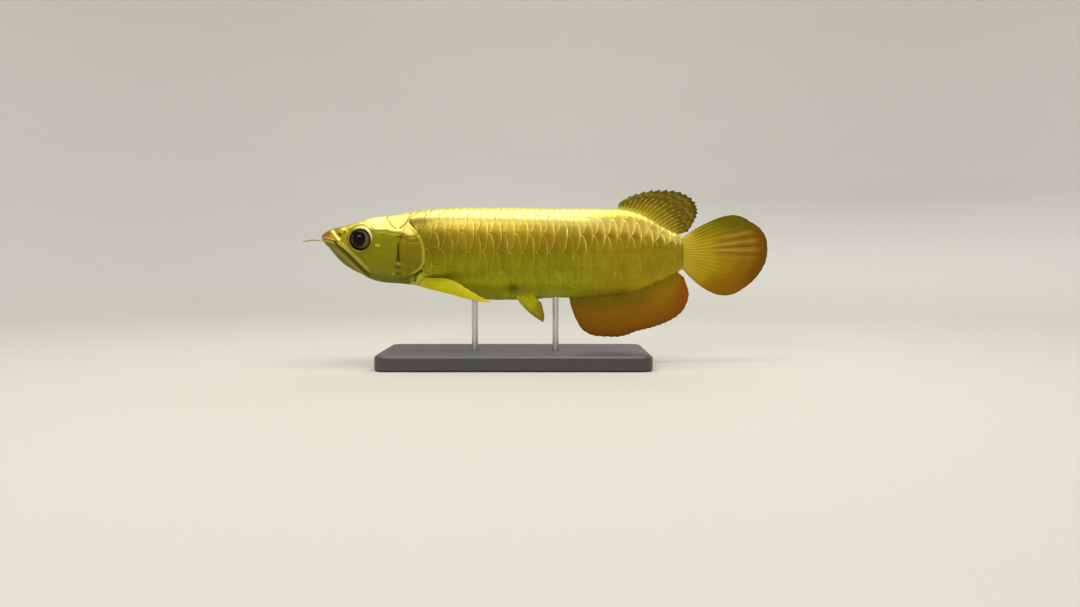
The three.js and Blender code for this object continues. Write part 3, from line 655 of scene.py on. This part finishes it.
def build_skin():
    head = FINE_END * np.linspace(0, 1, HEAD_RINGS) ** 1.1
    head[0] = 0.03
    x = np.concatenate([head, np.linspace(FINE_END, SKIN_END, TRUNK_RINGS)[1:]])
    rows, around = len(x), RING_POINTS
    share = np.arange(around) / around
    grid_x, grid_share = np.meshgrid(x, share, indexing="ij")
    plain = on_body(grid_x, grid_share)
    lines = HeadLines(plain[..., 0], plain[..., 1], plain[..., 2])
    lift = head_relief(lines) * smooth(77, 73, grid_x)
    points = on_body(grid_x, grid_share, lift - tail_sink(grid_x, grid_share))
    paint = mix(head_paint(lines, grid_share), rgb(184, 158, 40), smooth(240.5, 244.5, grid_x))
    flat = np.concatenate([points.reshape(-1, 3), [points[0].mean(axis=0), points[-1].mean(axis=0)]])
    colours = np.concatenate([paint.reshape(-1, 3), [paint[0].mean(axis=0), paint[-1].mean(axis=0)]])
    quads = grid_faces(rows, around, closed=True)
    tip, last = rows * around, (rows - 1) * around
    front_fan = [[tip, (j + 1) % around, j] for j in range(around)]
    rear_fan = [[tip + 1, last + j, last + (j + 1) % around] for j in range(around)]
    triangles = np.concatenate([quads[:, [0, 1, 2]], quads[:, [0, 2, 3]], front_fan, rear_fan])
    place_u = np.concatenate([np.repeat(np.arange(rows) / (rows - 1), around), [0, 1]])
    place_v = np.concatenate([np.tile(share, rows), [0.5, 0.5]])
    uv = np.stack([place_u[triangles], place_v[triangles]], axis=-1)
    wrap = (uv[..., 1].max(axis=1) - uv[..., 1].min(axis=1)) > 0.6
    uv[wrap, :, 1] = np.where(uv[wrap, :, 1] < 0.4, uv[wrap, :, 1] + 1, uv[wrap, :, 1])
    uv = uv * 0.98 + [0.01, 0.005]
    return make_mesh("skin", flat, triangles, skin_material, colours, bake=uv.reshape(-1, 2))


# Big overlapping scales, each a thin curved plate with its root sunk in the skin
def scale_column(column):
    shrink = (FIRST_PITCH - LAST_PITCH) / (2 * SCALE_COLUMNS)
    return HEAD_END - 0.5 + column * FIRST_PITCH - shrink * column * column


def scale_pitch(column):
    return FIRST_PITCH - (FIRST_PITCH - LAST_PITCH) * column / SCALE_COLUMNS


def arc_back(t):
    return ARC_REACH * (1 - (1 - np.minimum(t, 1) ** 2.3) ** (1 / 1.7))


PLATE_LONG = 19
PLATE_WIDE = 27
# Gold of the scales' rims: partly their own colour, partly a painted highlight of the overhead light on the
# raised margins.
RIM_GOLD_AND_SHINE = rgb(250, 224, 128)

# Where the scales begin, by height: at the nape, behind the gill cover and at the throat
scale_front = curve([
    (-30, 63.6), (-23, 64.6), (-18, 69), (-13, 71), (-8, 69.9), (-3.6, 71.3), (1.6, 71.3), (6.6, 70.6),
    (11, 69), (14.6, 66.7), (17.8, 63.6), (21.4, 60), (25, 59), (31, 58.6),
])


def one_scale(row, column):
    """Points and paint of one scale, outer face first and then its inner face."""
    pitch = scale_pitch(column)
    apex = scale_column(column) + rng.normal(0, 0.12)
    across = np.linspace(-1, 1, PLATE_WIDE)
    along = 1 - (1 - np.linspace(0, 1, PLATE_LONG)) ** 1.7
    grid_along, grid_across = np.meshgrid(along, across, indexing="ij")
    margin = 0.5 * pitch * arc_back(np.abs(grid_across))
    ahead = mix(1.45 * pitch, margin, grid_along)
    wave = 0.12 * np.sin(4.5 * grid_across + rng.uniform(0, 6)) * grid_along
    wave += 0.05 * np.sin(12 * grid_across + rng.uniform(0, 6)) * grid_along
    x = apex - ahead + wave
    share = (row + grid_across * (1.0 + rng.normal(0, 0.01))) / SCALE_ROWS
    lift = SCALE_LIFT - SCALE_SLOPE * ahead - 0.022 * np.maximum(ahead - pitch, 0) ** 2
    lift += rng.normal(0, 0.03) * grid_across + 0.12 * (1 - grid_across**2) * grid_along
    to_edge = ahead - margin
    lift += 0.06 * ridge_of(to_edge, 0.7)
    if row % 6 == 3:
        lift += 0.16 * ridge_of(grid_across, 0.09) * smooth(0.5, 2, to_edge)
    lift *= mix(1.0, 0.62, smooth(3.2, 4.2, row_of(share)))
    lift *= mix(1.0, 0.25, smooth(CAUDAL_BASE - 7, CAUDAL_BASE, x))
    height = on_body(x, share)[..., 2]
    under_cover = smooth(-12.5, -9, height) * smooth(20, 16, height)
    behind = x - scale_front(height) + 1.9 * under_cover
    lift = mix(-0.7, lift, smooth(-0.6, mix(2.2, 1.0, under_cover), behind)) - tail_sink(x, share)
    outer = on_body(x, share, lift)
    inner = on_body(x, share, lift - SCALE_THICK)
    return outer, inner, scale_paint(x, share, to_edge, grid_across), to_edge


def scale_paint(x, share, to_edge, across):
    """Ground colour with a bright rim and darker middle, strongest high up and toward the tail. The bright
    rim is partly the scales' own gold and partly a painted highlight of the overhead light on their raised
    margins; the darker edge on the back rows is painted shade, and the few pale flecks are painted glints.
    """
    place = light_row(x, row_of(share))
    paint = body_marks_and_shade(x, share, flank_paint(x, share))
    toward_tail = smooth(165, 200, x)
    flank = smooth(1.2, 1.8, place) * smooth(3.6, 2.6, place)
    rear = toward_tail * smooth(3.1, 2.2, place) * smooth(0.2, 0.6, place)
    back_rows = smooth(1.6, 1.1, place) * (1 - toward_tail)
    own = rng.uniform(0, 1) ** 1.2
    stroke = 0.25 + 0.75 * ridge_of(across - rng.uniform(-0.6, 0.4), 0.55)
    uneven = 0.8 + 0.2 * np.sin(7 * across + rng.uniform(0, 6))
    uneven += 0.1 * np.sin(17 * across + rng.uniform(0, 6))
    flank_rim = 0.78 * own * stroke * flank * mix(0.55, 1.0, smooth(110, 170, x))
    rear_rim = 0.95 * rear * mix(own, 1, 0.6) * mix(stroke, 1, 0.3)
    rim = uneven * ridge_of((to_edge - 0.35) / mix(0.45, 0.75, rear), 1.0)
    middle = smooth(0.9, 3.4, to_edge) * (1 - 0.5 * np.abs(across))
    core = middle * (0.25 + 0.4 * flank + 0.5 * rear) * rng.uniform(0.5, 1.1)
    paint = mix(paint, paint * rgb(224, 212, 166), core)
    # Bright rim: partly the scales' own gold, partly a painted highlight on their raised margins.
    paint = mix(paint, RIM_GOLD_AND_SHINE, rim * np.clip(0.04 + flank_rim + rear_rim, 0, 0.95))
    # Back rows: a darker edge at each scale's margin, painted shade that scallops the painted highlight
    # along the back.
    paint = mix(paint, rgb(150, 138, 36), 0.7 * back_rows * ridge_of(to_edge - 0.2, 0.5) * uneven)
    low = smooth(2.8, 3.4, place)
    if rng.random() < 0.3:
        inward, length, aside = rng.uniform(0.4, 3.5), rng.uniform(0.5, 0.9), rng.uniform(-0.6, 0.6)
        dark = swell(to_edge, across, inward, aside, length, 0.09)
        paint = mix(paint, rgb(98, 92, 8), 0.55 * low * dark)
    # Pale flecks near the rim: painted glints.
    if rng.random() < 0.2:
        glint_spot = swell(to_edge, across, rng.uniform(0.5, 1.6), rng.uniform(-0.5, 0.5), 0.6, 0.14)
        paint = mix(paint, rgb(186, 178, 66), 0.5 * low * glint_spot)
    return paint * (1 + rng.normal(0, 0.035))


def build_scales(name, chosen):
    points, paints, rings, faces, uvs = [], [], [], [], []
    plate = plate_faces(PLATE_LONG, PLATE_WIDE)
    u, v = np.meshgrid(np.linspace(0, 1, PLATE_LONG), np.linspace(0, 1, PLATE_WIDE), indexing="ij")
    outer_uv = np.stack([u * 0.9, v * 0.8], axis=-1).reshape(-1, 2)
    inner_uv = np.stack([u * 0.9, 0.84 + v * 0.1], axis=-1).reshape(-1, 2)
    cell_uv = np.concatenate([outer_uv, inner_uv])
    cell = np.array([1 / (SCALE_COLUMNS + 4), 1 / SCALE_ROWS])
    for row, column in chosen:
        outer, inner, paint, to_edge = one_scale(row, column)
        faces.append(plate + len(points) * len(cell_uv))
        points.append(np.concatenate([outer.reshape(-1, 3), inner.reshape(-1, 3)]))
        flat = paint.reshape(-1, 3)
        # The inner face is painted darker: painted shade on the scale's hidden underside.
        paints.append(np.concatenate([flat, flat * 0.6]))
        rings.append(np.tile(to_edge.reshape(-1), 2))
        uvs.append(((cell_uv * 0.94 + [int(column) + 1.5, row]) * cell)[plate])
    return make_mesh(
        name, np.concatenate(points), np.concatenate(faces), scale_material,
        np.clip(np.concatenate(paints), 0, 1), {"Ring": np.concatenate(rings)},
        np.concatenate(uvs).reshape(-1, 2),
    )


def all_scales():
    groups = {f"scales_{side}_{level}": [] for side in ("left", "right") for level in ("upper", "lower")}
    for row in range(SCALE_ROWS):
        for step in range(-1, SCALE_COLUMNS + 2):
            column = step + (0.5 if row % 2 else 0.0)
            apex = scale_column(column)
            if apex > CAUDAL_BASE - 0.4:
                continue
            if apex < scale_front(on_body(apex, row / SCALE_ROWS)[..., 2]) + 1.2:
                continue
            side = "left" if row < SCALE_ROWS / 2 else "right"
            level = "lower" if 3 < row < 9 else "upper"
            groups[f"scales_{side}_{level}"].append((row, column))
    return [build_scales(name, chosen) for name, chosen in groups.items()]


# Fins: a web with branching rays, raised alike on both faces
def path_of(marks):
    """A path through marks, each a share of the way with its x, y and z."""
    parts = [curve([(mark[0], mark[i]) for mark in marks]) for i in (1, 2, 3)]
    return lambda s: np.stack([part(s) for part in parts], axis=-1)


def ray_pattern(position, along, rays):
    """Height of the rays, 0 to 1, with each ray parting in two and then in four."""
    nearest = position * (rays - 1)
    offset = nearest - np.round(nearest)
    spread = 0.24 * smooth(0.35, 0.75, along)
    finer = 0.115 * smooth(0.68, 0.95, along)
    width = mix(0.15, 0.055, smooth(0.1, 0.8, along))
    branches = [one * spread + two * finer for one in (-1, 1) for two in (-1, 1)]
    return np.max([ridge_of(offset - branch, width) for branch in branches], axis=0)


def build_fin(name, rays, base, tip, bow, thick, ray_height, paint, notch=0.02, sideways=True,
              rows=80, per_ray=12, mirror=False, first_ray=0.0, lean=(0.5, 0.5, 0.5), front_notch=0.0):
    columns = (rays - 1) * per_ray + 1
    share = np.linspace(0, 1, columns)
    along = np.linspace(0, 1, rows) ** 0.9
    grid_share, grid_along = np.meshgrid(share, along, indexing="ij")
    between = np.abs(grid_share * (rays - 1) - np.round(grid_share * (rays - 1))) * 2
    depth = notch + front_notch * smooth(0.55, 0.25, grid_share)
    reach = grid_along * (1 - depth * smooth(0.0, 1.0, between))

    def place(s, a):
        start, end = base(s), tip(s)
        middle = start + (end - start) * lean + bow(s)
        a = a[..., None]
        return start * (1 - a) ** 2 + 2 * middle * a * (1 - a) + end * a**2

    spot = place(grid_share, reach)
    far = np.linalg.norm(spot - place(grid_share, np.zeros_like(reach)), axis=-1)
    if sideways:
        across = np.broadcast_to(np.array([0.0, 1.0, 0.0]), spot.shape)
    else:
        across = np.cross(np.gradient(spot, axis=0), np.gradient(spot, axis=1))
        across /= np.linalg.norm(across, axis=-1, keepdims=True) + 1e-12
    ridge = ray_pattern(grid_share, grid_along, rays)
    joints = 0.5 + 0.5 * np.cos(math.tau * far / 1.15)
    segments = 1 - 0.35 * joints * smooth(0.3, 0.5, grid_along)
    lead = first_ray * smooth(0.035, 0.0, grid_share) * (1 - 0.6 * grid_along)
    half = 0.5 * thick(grid_share, grid_along, far)
    half = half + 0.5 * ray_height * ridge * segments * (1 - 0.55 * grid_along) + lead
    half *= np.minimum(1, 0.35 + 4 * (1 - grid_along))
    left, right = spot - across * half[..., None], spot + across * half[..., None]
    colours = paint(grid_share, grid_along, far, ridge)
    if mirror:
        left, right = left * [1, -1, 1], right * [1, -1, 1]
    faces = plate_faces(columns, rows, flip=mirror)
    u, v = grid_share.reshape(-1), grid_along.reshape(-1)
    uv_left = np.stack([0.01 + 0.98 * u, 0.01 + 0.47 * v], axis=-1)
    uv_right = np.stack([0.01 + 0.98 * u, 0.99 - 0.47 * v], axis=-1)
    uv = np.concatenate([uv_left, uv_right])[faces]
    flat = np.clip(colours.reshape(-1, 3), 0, 1)
    return make_mesh(
        name, np.concatenate([left.reshape(-1, 3), right.reshape(-1, 3)]), faces, fin_material,
        np.concatenate([flat, flat]), bake=uv.reshape(-1, 2),
    )


def vector(x, y, z):
    return np.stack(np.broadcast_arrays(x, y, z), axis=-1)


def along_edge(edge, start, end, rise):
    """A fin's root along the back or the belly, a little inside the body."""
    return lambda s: vector(start + (end - start) * s, 0, edge(start + (end - start) * s) + rise)


DORSAL_RAYS = 20


def dorsal_paint(share, along, far, ridge):
    web = stops(
        along, (0.02, 176, 152, 38), (0.3, 134, 114, 12), (0.55, 98, 82, 8), (0.85, 92, 76, 6),
        (1.0, 74, 62, 4),
    )
    sheath = smooth(4.8, 2.4, far) * smooth(0.55, 0.3, share)
    ray = np.round(share * (DORSAL_RAYS - 1))
    uneven = np.cos(math.tau * far / 5.3 + 1.7 * ray**2)
    uneven += 0.7 * np.cos(math.tau * far / 2.9 + 2.9 * ray**2)
    streak = ridge * smooth(-0.9, 1.1, uneven) * smooth(0.15, 0.35, along)
    return overlay(
        web, (96, 96, 22, 0.8 * smooth(0.34, 0.12, share) * smooth(0.2, 0.6, along)),
        (204, 184, 84, 0.8 * sheath), (194, 168, 72, 0.62 * streak * smooth(0.97, 0.86, along)),
        (190, 166, 56, 0.35 * ridge * smooth(0.6, 0.3, along)),
    )


def anal_paint(share, along, far, ridge):
    web = stops(
        along, (0.03, 122, 110, 14), (0.2, 122, 92, 8), (0.4, 134, 90, 8), (0.75, 132, 82, 5),
        (0.93, 122, 70, 3), (1.0, 92, 54, 2),
    )
    # A patchy dark band near the fin's root: painted shade under the belly.
    fin_root_shade = (0.6 + 0.4 * np.sin(37 * share) * np.sin(61 * share + 2)) * ridge_of(along - 0.1, 0.07)
    web = overlay(
        web, (108, 96, 8, 0.8 * smooth(0.16, 0.05, share) * smooth(0.75, 0.4, along)),
        (140, 104, 6, 0.7 * smooth(0.6, 0.8, share) * smooth(0.75, 0.45, along)),
        (136, 64, 2, 0.75 * smooth(0.68, 0.95, share) * smooth(0.4, 0.8, along)),
        (92, 80, 2, 0.5 * fin_root_shade * smooth(0.85, 0.7, share)),
    )
    return mix(web, web * 1.29, 0.45 * ridge)


def caudal_paint(share, along, far, ridge):
    web = stops(
        along, (0.02, 186, 160, 44), (0.3, 170, 142, 24), (0.55, 152, 118, 10), (0.78, 134, 92, 8),
        (0.93, 112, 67, 2),
    )
    web = overlay(web, (136, 86, 2, 0.8 * smooth(0.66, 0.86, share) * smooth(0.35, 0.7, along)))
    top = 0.9 * smooth(0.36, 0.14, share) * smooth(0.1, 0.35, along)
    web = mix(web, mix(rgb(132, 118, 10), rgb(94, 88, 2), smooth(0.4, 0.8, along)), top)
    middle = smooth(0.2, 0.3, share) * smooth(0.56, 0.48, share) * smooth(0.3, 0.5, along)
    middle = middle * smooth(0.95, 0.8, along)
    streak = 0.5 + 0.5 * np.cos(math.tau * (share - 0.325 - 0.01 * along) / 0.078)
    rims = 0.7 * smooth(0.03, 0.0, share) + 0.5 * smooth(0.97, 1.0, share)
    edge = np.maximum(smooth(0.955, 0.995, along), rims)
    web = overlay(
        web, (178, 142, 58, 0.45 * middle * (1 - streak)),
        (98, 82, 2, 0.66 * middle * streak * (1 - 0.4 * ridge)), (84, 66, 2, 0.75 * edge),
    )
    return mix(web, web * 1.3, mix(0.4, 0.22, smooth(0.45, 0.65, share)) * ridge * (1 - edge))


def pectoral_paint(share, along, far, ridge):
    web = stops(along, (0.0, 196, 186, 50), (0.2, 180, 171, 18), (0.6, 168, 162, 8), (1.0, 168, 154, 12))
    web = overlay(web, (140, 136, 8, 0.6 * smooth(0.6, 1.0, share)))
    web = mix(web, web * 1.3, 0.4 * ridge)
    return overlay(web, (222, 188, 66, 0.9 * smooth(0.1, 0.0, share) * smooth(0.1, 0.4, along)))


def pelvic_paint(share, along, far, ridge):
    web = stops(along, (0.0, 158, 156, 14), (0.45, 150, 146, 6), (0.8, 124, 108, 8), (1.0, 108, 82, 6))
    web = overlay(web, (104, 84, 6, 0.8 * smooth(0.3, 0.02, share) * smooth(0.15, 0.6, along)))
    return mix(web, web * 1.3, 0.35 * ridge)


def caudal_thick(share, along, far):
    round_off = np.sqrt(np.maximum(1 - (1.02 * (2 * share - 1)) ** 2, 0))
    return 0.6 + 7.6 * round_off * np.exp(-far / 8) - 0.2 * along


def build_fins():
    made = {}
    made["fin_dorsal"] = build_fin(
        "dorsal_fin", DORSAL_RAYS, along_edge(back, 198.8, 237.5, -1.6),
        path_of([
            (0, 200.2, 0, 35.2), (0.07, 204.3, 0, 37.9), (0.15, 211, 0, 40.9), (0.3, 226, 0, 43.8),
            (0.42, 236.8, 0, 43.2), (0.54, 246.2, 0, 39.8), (0.65, 251.7, 0, 34.4), (0.78, 253, 0, 28.8),
            (0.9, 250.3, 0, 22), (1, 246.2, 0, 15.6),
        ]),
        lambda s: vector(0, 0, 1.0 * np.sin(math.pi * s)),
        lambda s, a, far: 0.4 + 2.4 * np.exp(-far / 3), 0.7, dorsal_paint, notch=0.035,
        lean=(0.36, 0.5, 0.62), front_notch=0.09,
    )
    made["fin_anal"] = build_fin(
        "anal_fin", 26, along_edge(belly, 166.2, 238.5, 1.6),
        path_of([
            (0, 167.8, 0, -34.6), (0.06, 171.8, 0, -44.5), (0.12, 176.4, 0, -51.1), (0.2, 185, 0, -54.8),
            (0.3, 197.5, 0, -55.4), (0.37, 204.5, 0, -54.4), (0.45, 211.5, 0, -51.8), (0.6, 224.8, 0, -48.3),
            (0.74, 236.8, 0, -43.1), (0.84, 244.6, 0, -35.8), (0.92, 247.3, 0, -26.4), (1, 244, 0, -15.2),
        ]),
        lambda s: vector(-0.8 * np.sin(math.pi * s), 0, -0.8 * np.sin(math.pi * s)),
        lambda s, a, far: 0.4 + 2.6 * np.exp(-far / 3.5), 0.6, anal_paint, notch=0.012,
    )
    made["fin_caudal"] = build_fin(
        "caudal_fin", 19, lambda s: vector(CAUDAL_BASE - 2, 0, 11.6 - 21 * s),
        path_of([
            (0, 270.5, 0, 26), (0.067, 276.8, 0, 26.8), (0.13, 282.8, 0, 25.5), (0.2, 288.3, 0, 22.4),
            (0.26, 293.2, 0, 19.3), (0.32, 297.2, 0, 15), (0.385, 299.5, 0, 9.6), (0.455, 300, 0, 3.3),
            (0.525, 299.3, 0, -2.8), (0.6, 296.8, 0, -9), (0.67, 293.2, 0, -14.4), (0.743, 288.4, 0, -19.3),
            (0.815, 282.9, 0, -23.3), (0.88, 277.7, 0, -26.2), (0.945, 272.2, 0, -27.3), (1, 267, 0, -26.9),
        ]),
        lambda s: vector(0, 0, (1 - 2 * s) * np.abs(1 - 2 * s) * np.where(s < 0.5, 3.2, 5.4)),
        caudal_thick, 0.6, caudal_paint, notch=0.004,
    )
    pectoral = dict(
        rays=8, base=lambda s: vector(65.4 - 0.2 * s, -3.8 - 3.2 * s, -19.2 + 4.6 * s),
        tip=path_of([
            (0, 116.6, -43, -30), (0.15, 114.6, -40.5, -29.2), (0.35, 108.6, -34.6, -26.2),
            (0.6, 100, -26.6, -21.8), (0.8, 93, -20.4, -17.9), (1, 86, -16.2, -15.6),
        ]),
        bow=lambda s: vector(0, -1.6, -3.1 * (1 - s)),
        thick=lambda s, a, far: 0.4 + (1.2 * (1 - s) + 0.6) * (1 - a) ** 1.5,
        ray_height=0.6, paint=pectoral_paint, notch=0.02, sideways=False, per_ray=20, first_ray=0.35,
    )
    pelvic = dict(
        rays=6, base=lambda s: vector(129.8 + 12 * s, -3.4, -26.2),
        tip=path_of([
            (0, 149.7, -11.5, -44.8), (0.3, 150, -10.4, -42), (0.65, 149.2, -8.8, -37.4), (1, 148, -7, -33),
        ]),
        bow=lambda s: vector(-3.4 * (1 - s), -0.6, -2.2 * (1 - s)),
        thick=lambda s, a, far: 0.4 + 1.0 * (1 - a) ** 1.5,
        ray_height=0.5, paint=pelvic_paint, notch=0.03, sideways=False, per_ray=16, rows=50, first_ray=0.2,
    )
    for side, mirror in (("left", False), ("right", True)):
        made[f"fin_pectoral_{side}"] = build_fin(f"pectoral_fin_{side}", mirror=mirror, **pectoral)
        made[f"fin_pelvic_{side}"] = build_fin(f"pelvic_fin_{side}", mirror=mirror, **pelvic)
    return made


# Eyes: a domed ball, dark pupil and olive brown iris under a clear gloss
def build_eye(side):
    rings, around = 60, 96
    tilt = np.linspace(-math.pi / 2 + 0.001, math.radians(50), rings)
    turn = math.tau * np.arange(around) / around
    grid_tilt, grid_turn = np.meshgrid(tilt, turn, indexing="ij")
    reach = EYE_RADIUS * np.cos(grid_tilt)
    x = EYE_X + reach * np.cos(grid_turn)
    z = EYE_Z + reach * np.sin(grid_turn)
    y = -EYE_OUT + EYE_FLAT * np.sin(grid_tilt)
    points = np.stack([x, y, z], axis=-1)
    pupil = np.hypot((x - EYE_X + 0.7) / 4.3, (z - EYE_Z - 0.7) / 5.1)
    toward_rear = smooth(-0.2, 0.9, np.cos(grid_turn))
    iris = overlay(
        rgb(38, 26, 20), (100, 90, 50, toward_rear),
        (84, 72, 50, 0.8 * swell(x, z, EYE_X - 5.2, EYE_Z, 1.4, 2.4)),
        (84, 72, 44, 0.8 * swell(x, z, EYE_X + 0.6, EYE_Z - 4.9, 2.2, 1.2)),
    )
    colour = overlay(
        mix(rgb(10, 2, 8), iris, smooth(0.95, 1.07, pupil)),
        (124, 112, 60, 0.4 * toward_rear * ridge_of(pupil - 1.12, 0.05)),
        (20, 14, 8, smooth(5.9, 6.6, reach)),
    )
    if side == "right":
        points = points * [1, -1, 1]
    quads = grid_faces(rings, around, closed=True, flip=side == "right")
    return make_mesh(f"eyeball_{side}", points.reshape(-1, 3), quads, eye_material, colour.reshape(-1, 3))


def build_barbel(side):
    sign = -1 if side == "left" else 1
    steps, around = 40, 16
    t = np.linspace(0, 1, steps)
    height = 9.3 + 0.9 * np.sin(math.pi * t) - 0.3 * t
    path = np.stack([3.4 - 15.4 * t, sign * (1.3 + 2 * t), height], axis=-1)
    radius = 0.72 - 0.44 * t + 0.35 * (1 - t) ** 4
    radius[-1] = 0.05
    along = np.gradient(path, axis=0)
    along /= np.linalg.norm(along, axis=-1, keepdims=True)
    across = np.cross([0, 1, 0], along)
    across /= np.linalg.norm(across, axis=-1, keepdims=True)
    other = np.cross(along, across)
    turn = math.tau * np.arange(around) / around
    offset = across[:, None] * np.cos(turn)[None, :, None] + other[:, None] * np.sin(turn)[None, :, None]
    points = path[:, None] + offset * radius[:, None, None]
    colour = mix(rgb(192, 186, 106), rgb(152, 153, 96), smooth(0.1, 0.6, t))
    quads = grid_faces(steps, around, closed=True)
    colours = np.repeat(colour, around, axis=0)
    return make_mesh(f"feeler_{side}", points.reshape(-1, 3), quads, barbel_material, colours)


skin = build_skin()
scales = all_scales()
fins = build_fins()

flesh = [
    "head", "lower_jaw", "gill_cover_left", "gill_cover_right", "trunk_front", "trunk_middle",
    "trunk_rear", "tail_peduncle",
]
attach(skin, "root")
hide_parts(*flesh)
for plates in scales:
    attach(plates, "root")
for node, piece in fins.items():
    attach(piece, "root")
    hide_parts(node)
for side in ("left", "right"):
    eye, feeler = build_eye(side), build_barbel(side)
    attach(eye, "root")
    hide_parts(f"eye_{side}")
    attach(feeler, "root")
    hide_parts(f"barbel_{side}")

# The stand keeps its solids and gets its finish
base_material, _, _ = principled("stand_base_finish", rgb(62, 60, 58), 0.0, 0.45)
rod_material, _, _ = principled("stand_rod_finish", rgb(200, 200, 202), 1.0, 0.28)
for name, material in (
    ("stand_base", base_material), ("stand_rod_front", rod_material), ("stand_rod_rear", rod_material),
):
    finishes = frame["nodes"][name].data.materials
    finishes.clear()
    finishes.append(material)


# Floor, light and camera
def build_stage():
    """A round pale floor that curves up into a low wall on every side."""
    reach = np.array([0.02, 0.5, 0.85, 1.1, 1.35, 1.6, 1.8, 1.95, 2.05, 2.1, 2.1])
    rise = np.array([0.0, 0.0, 0.0, 0.012, 0.05, 0.12, 0.215, 0.34, 0.5, 0.68, 1.05])
    around = 96
    turn = math.tau * np.arange(around) / around
    points = np.stack([
        reach[:, None] * np.cos(turn), reach[:, None] * np.sin(turn), rise[:, None] + 0 * turn,
    ], axis=-1).reshape(-1, 3)
    faces = [list(range(around))] + grid_faces(len(reach), around, closed=True, flip=True).tolist()
    mesh = bpy.data.meshes.new("floor")
    mesh.from_pydata(points.tolist(), [], faces)
    mesh.polygons.foreach_set("use_smooth", [True] * len(faces))
    floor = bpy.data.objects.new("floor", mesh)
    material, _, _ = principled("floor_finish", rgb(192, 190, 182), 0.0, 0.8, 0.2)
    mesh.materials.append(material)
    bpy.context.scene.collection.objects.link(floor)


def area_light(name, place, aim, size, power, colour=(1, 1, 1)):
    data = bpy.data.lights.new(name, "AREA")
    data.shape = "ELLIPSE"
    data.size, data.size_y = size
    data.energy = power
    data.color = colour
    light = bpy.data.objects.new(name, data)
    light.location = place
    light.rotation_euler = (Vector(aim) - Vector(place)).to_track_quat("-Z", "Y").to_euler()
    bpy.context.scene.collection.objects.link(light)


build_stage()
area_light("overhead", (0.0, -0.1, 0.95), (0.0, 0.0, 0.08), (1.2, 0.8), 10.0, (1.0, 0.98, 0.9))
area_light("front", (-0.5, -1.3, 0.75), (0.0, 0.0, 0.07), (0.6, 0.4), 6.0)
area_light("back", (0.6, 1.2, 0.9), (0.0, 0.0, 0.07), (1.0, 0.8), 4.0)
for step in range(6):
    turn = math.radians(60 * step + 30)
    east, north = math.cos(turn), math.sin(turn)
    place, aim = (1.1 * east, 1.1 * north, 1.0), (2.1 * east, 2.1 * north, 0.3)
    area_light(f"wall_{step}", place, aim, (0.9, 0.3), 5.0)

sky = bpy.data.worlds.new("sky")
bpy.context.scene.world = sky
sky.use_nodes = True
set_inputs(sky.node_tree.nodes["Background"], {"Color": (0.86, 0.87, 0.84, 1), "Strength": 0.55})

PHOTO_WIDTH = 1080
FOCAL_PIXELS = 935.0
camera_data = bpy.data.cameras.new("camera")
camera_data.sensor_width = 36.0
camera_data.lens = 36.0 * FOCAL_PIXELS / PHOTO_WIDTH
camera_data.clip_start = 0.01
camera = bpy.data.objects.new("camera", camera_data)
camera.location = (0.003, -0.630, 0.074)
camera.rotation_euler = (math.radians(90 - 2.97), 0, 0)
bpy.context.scene.collection.objects.link(camera)
bpy.context.scene.camera = camera
bpy.context.scene.view_settings.view_transform = "Standard"
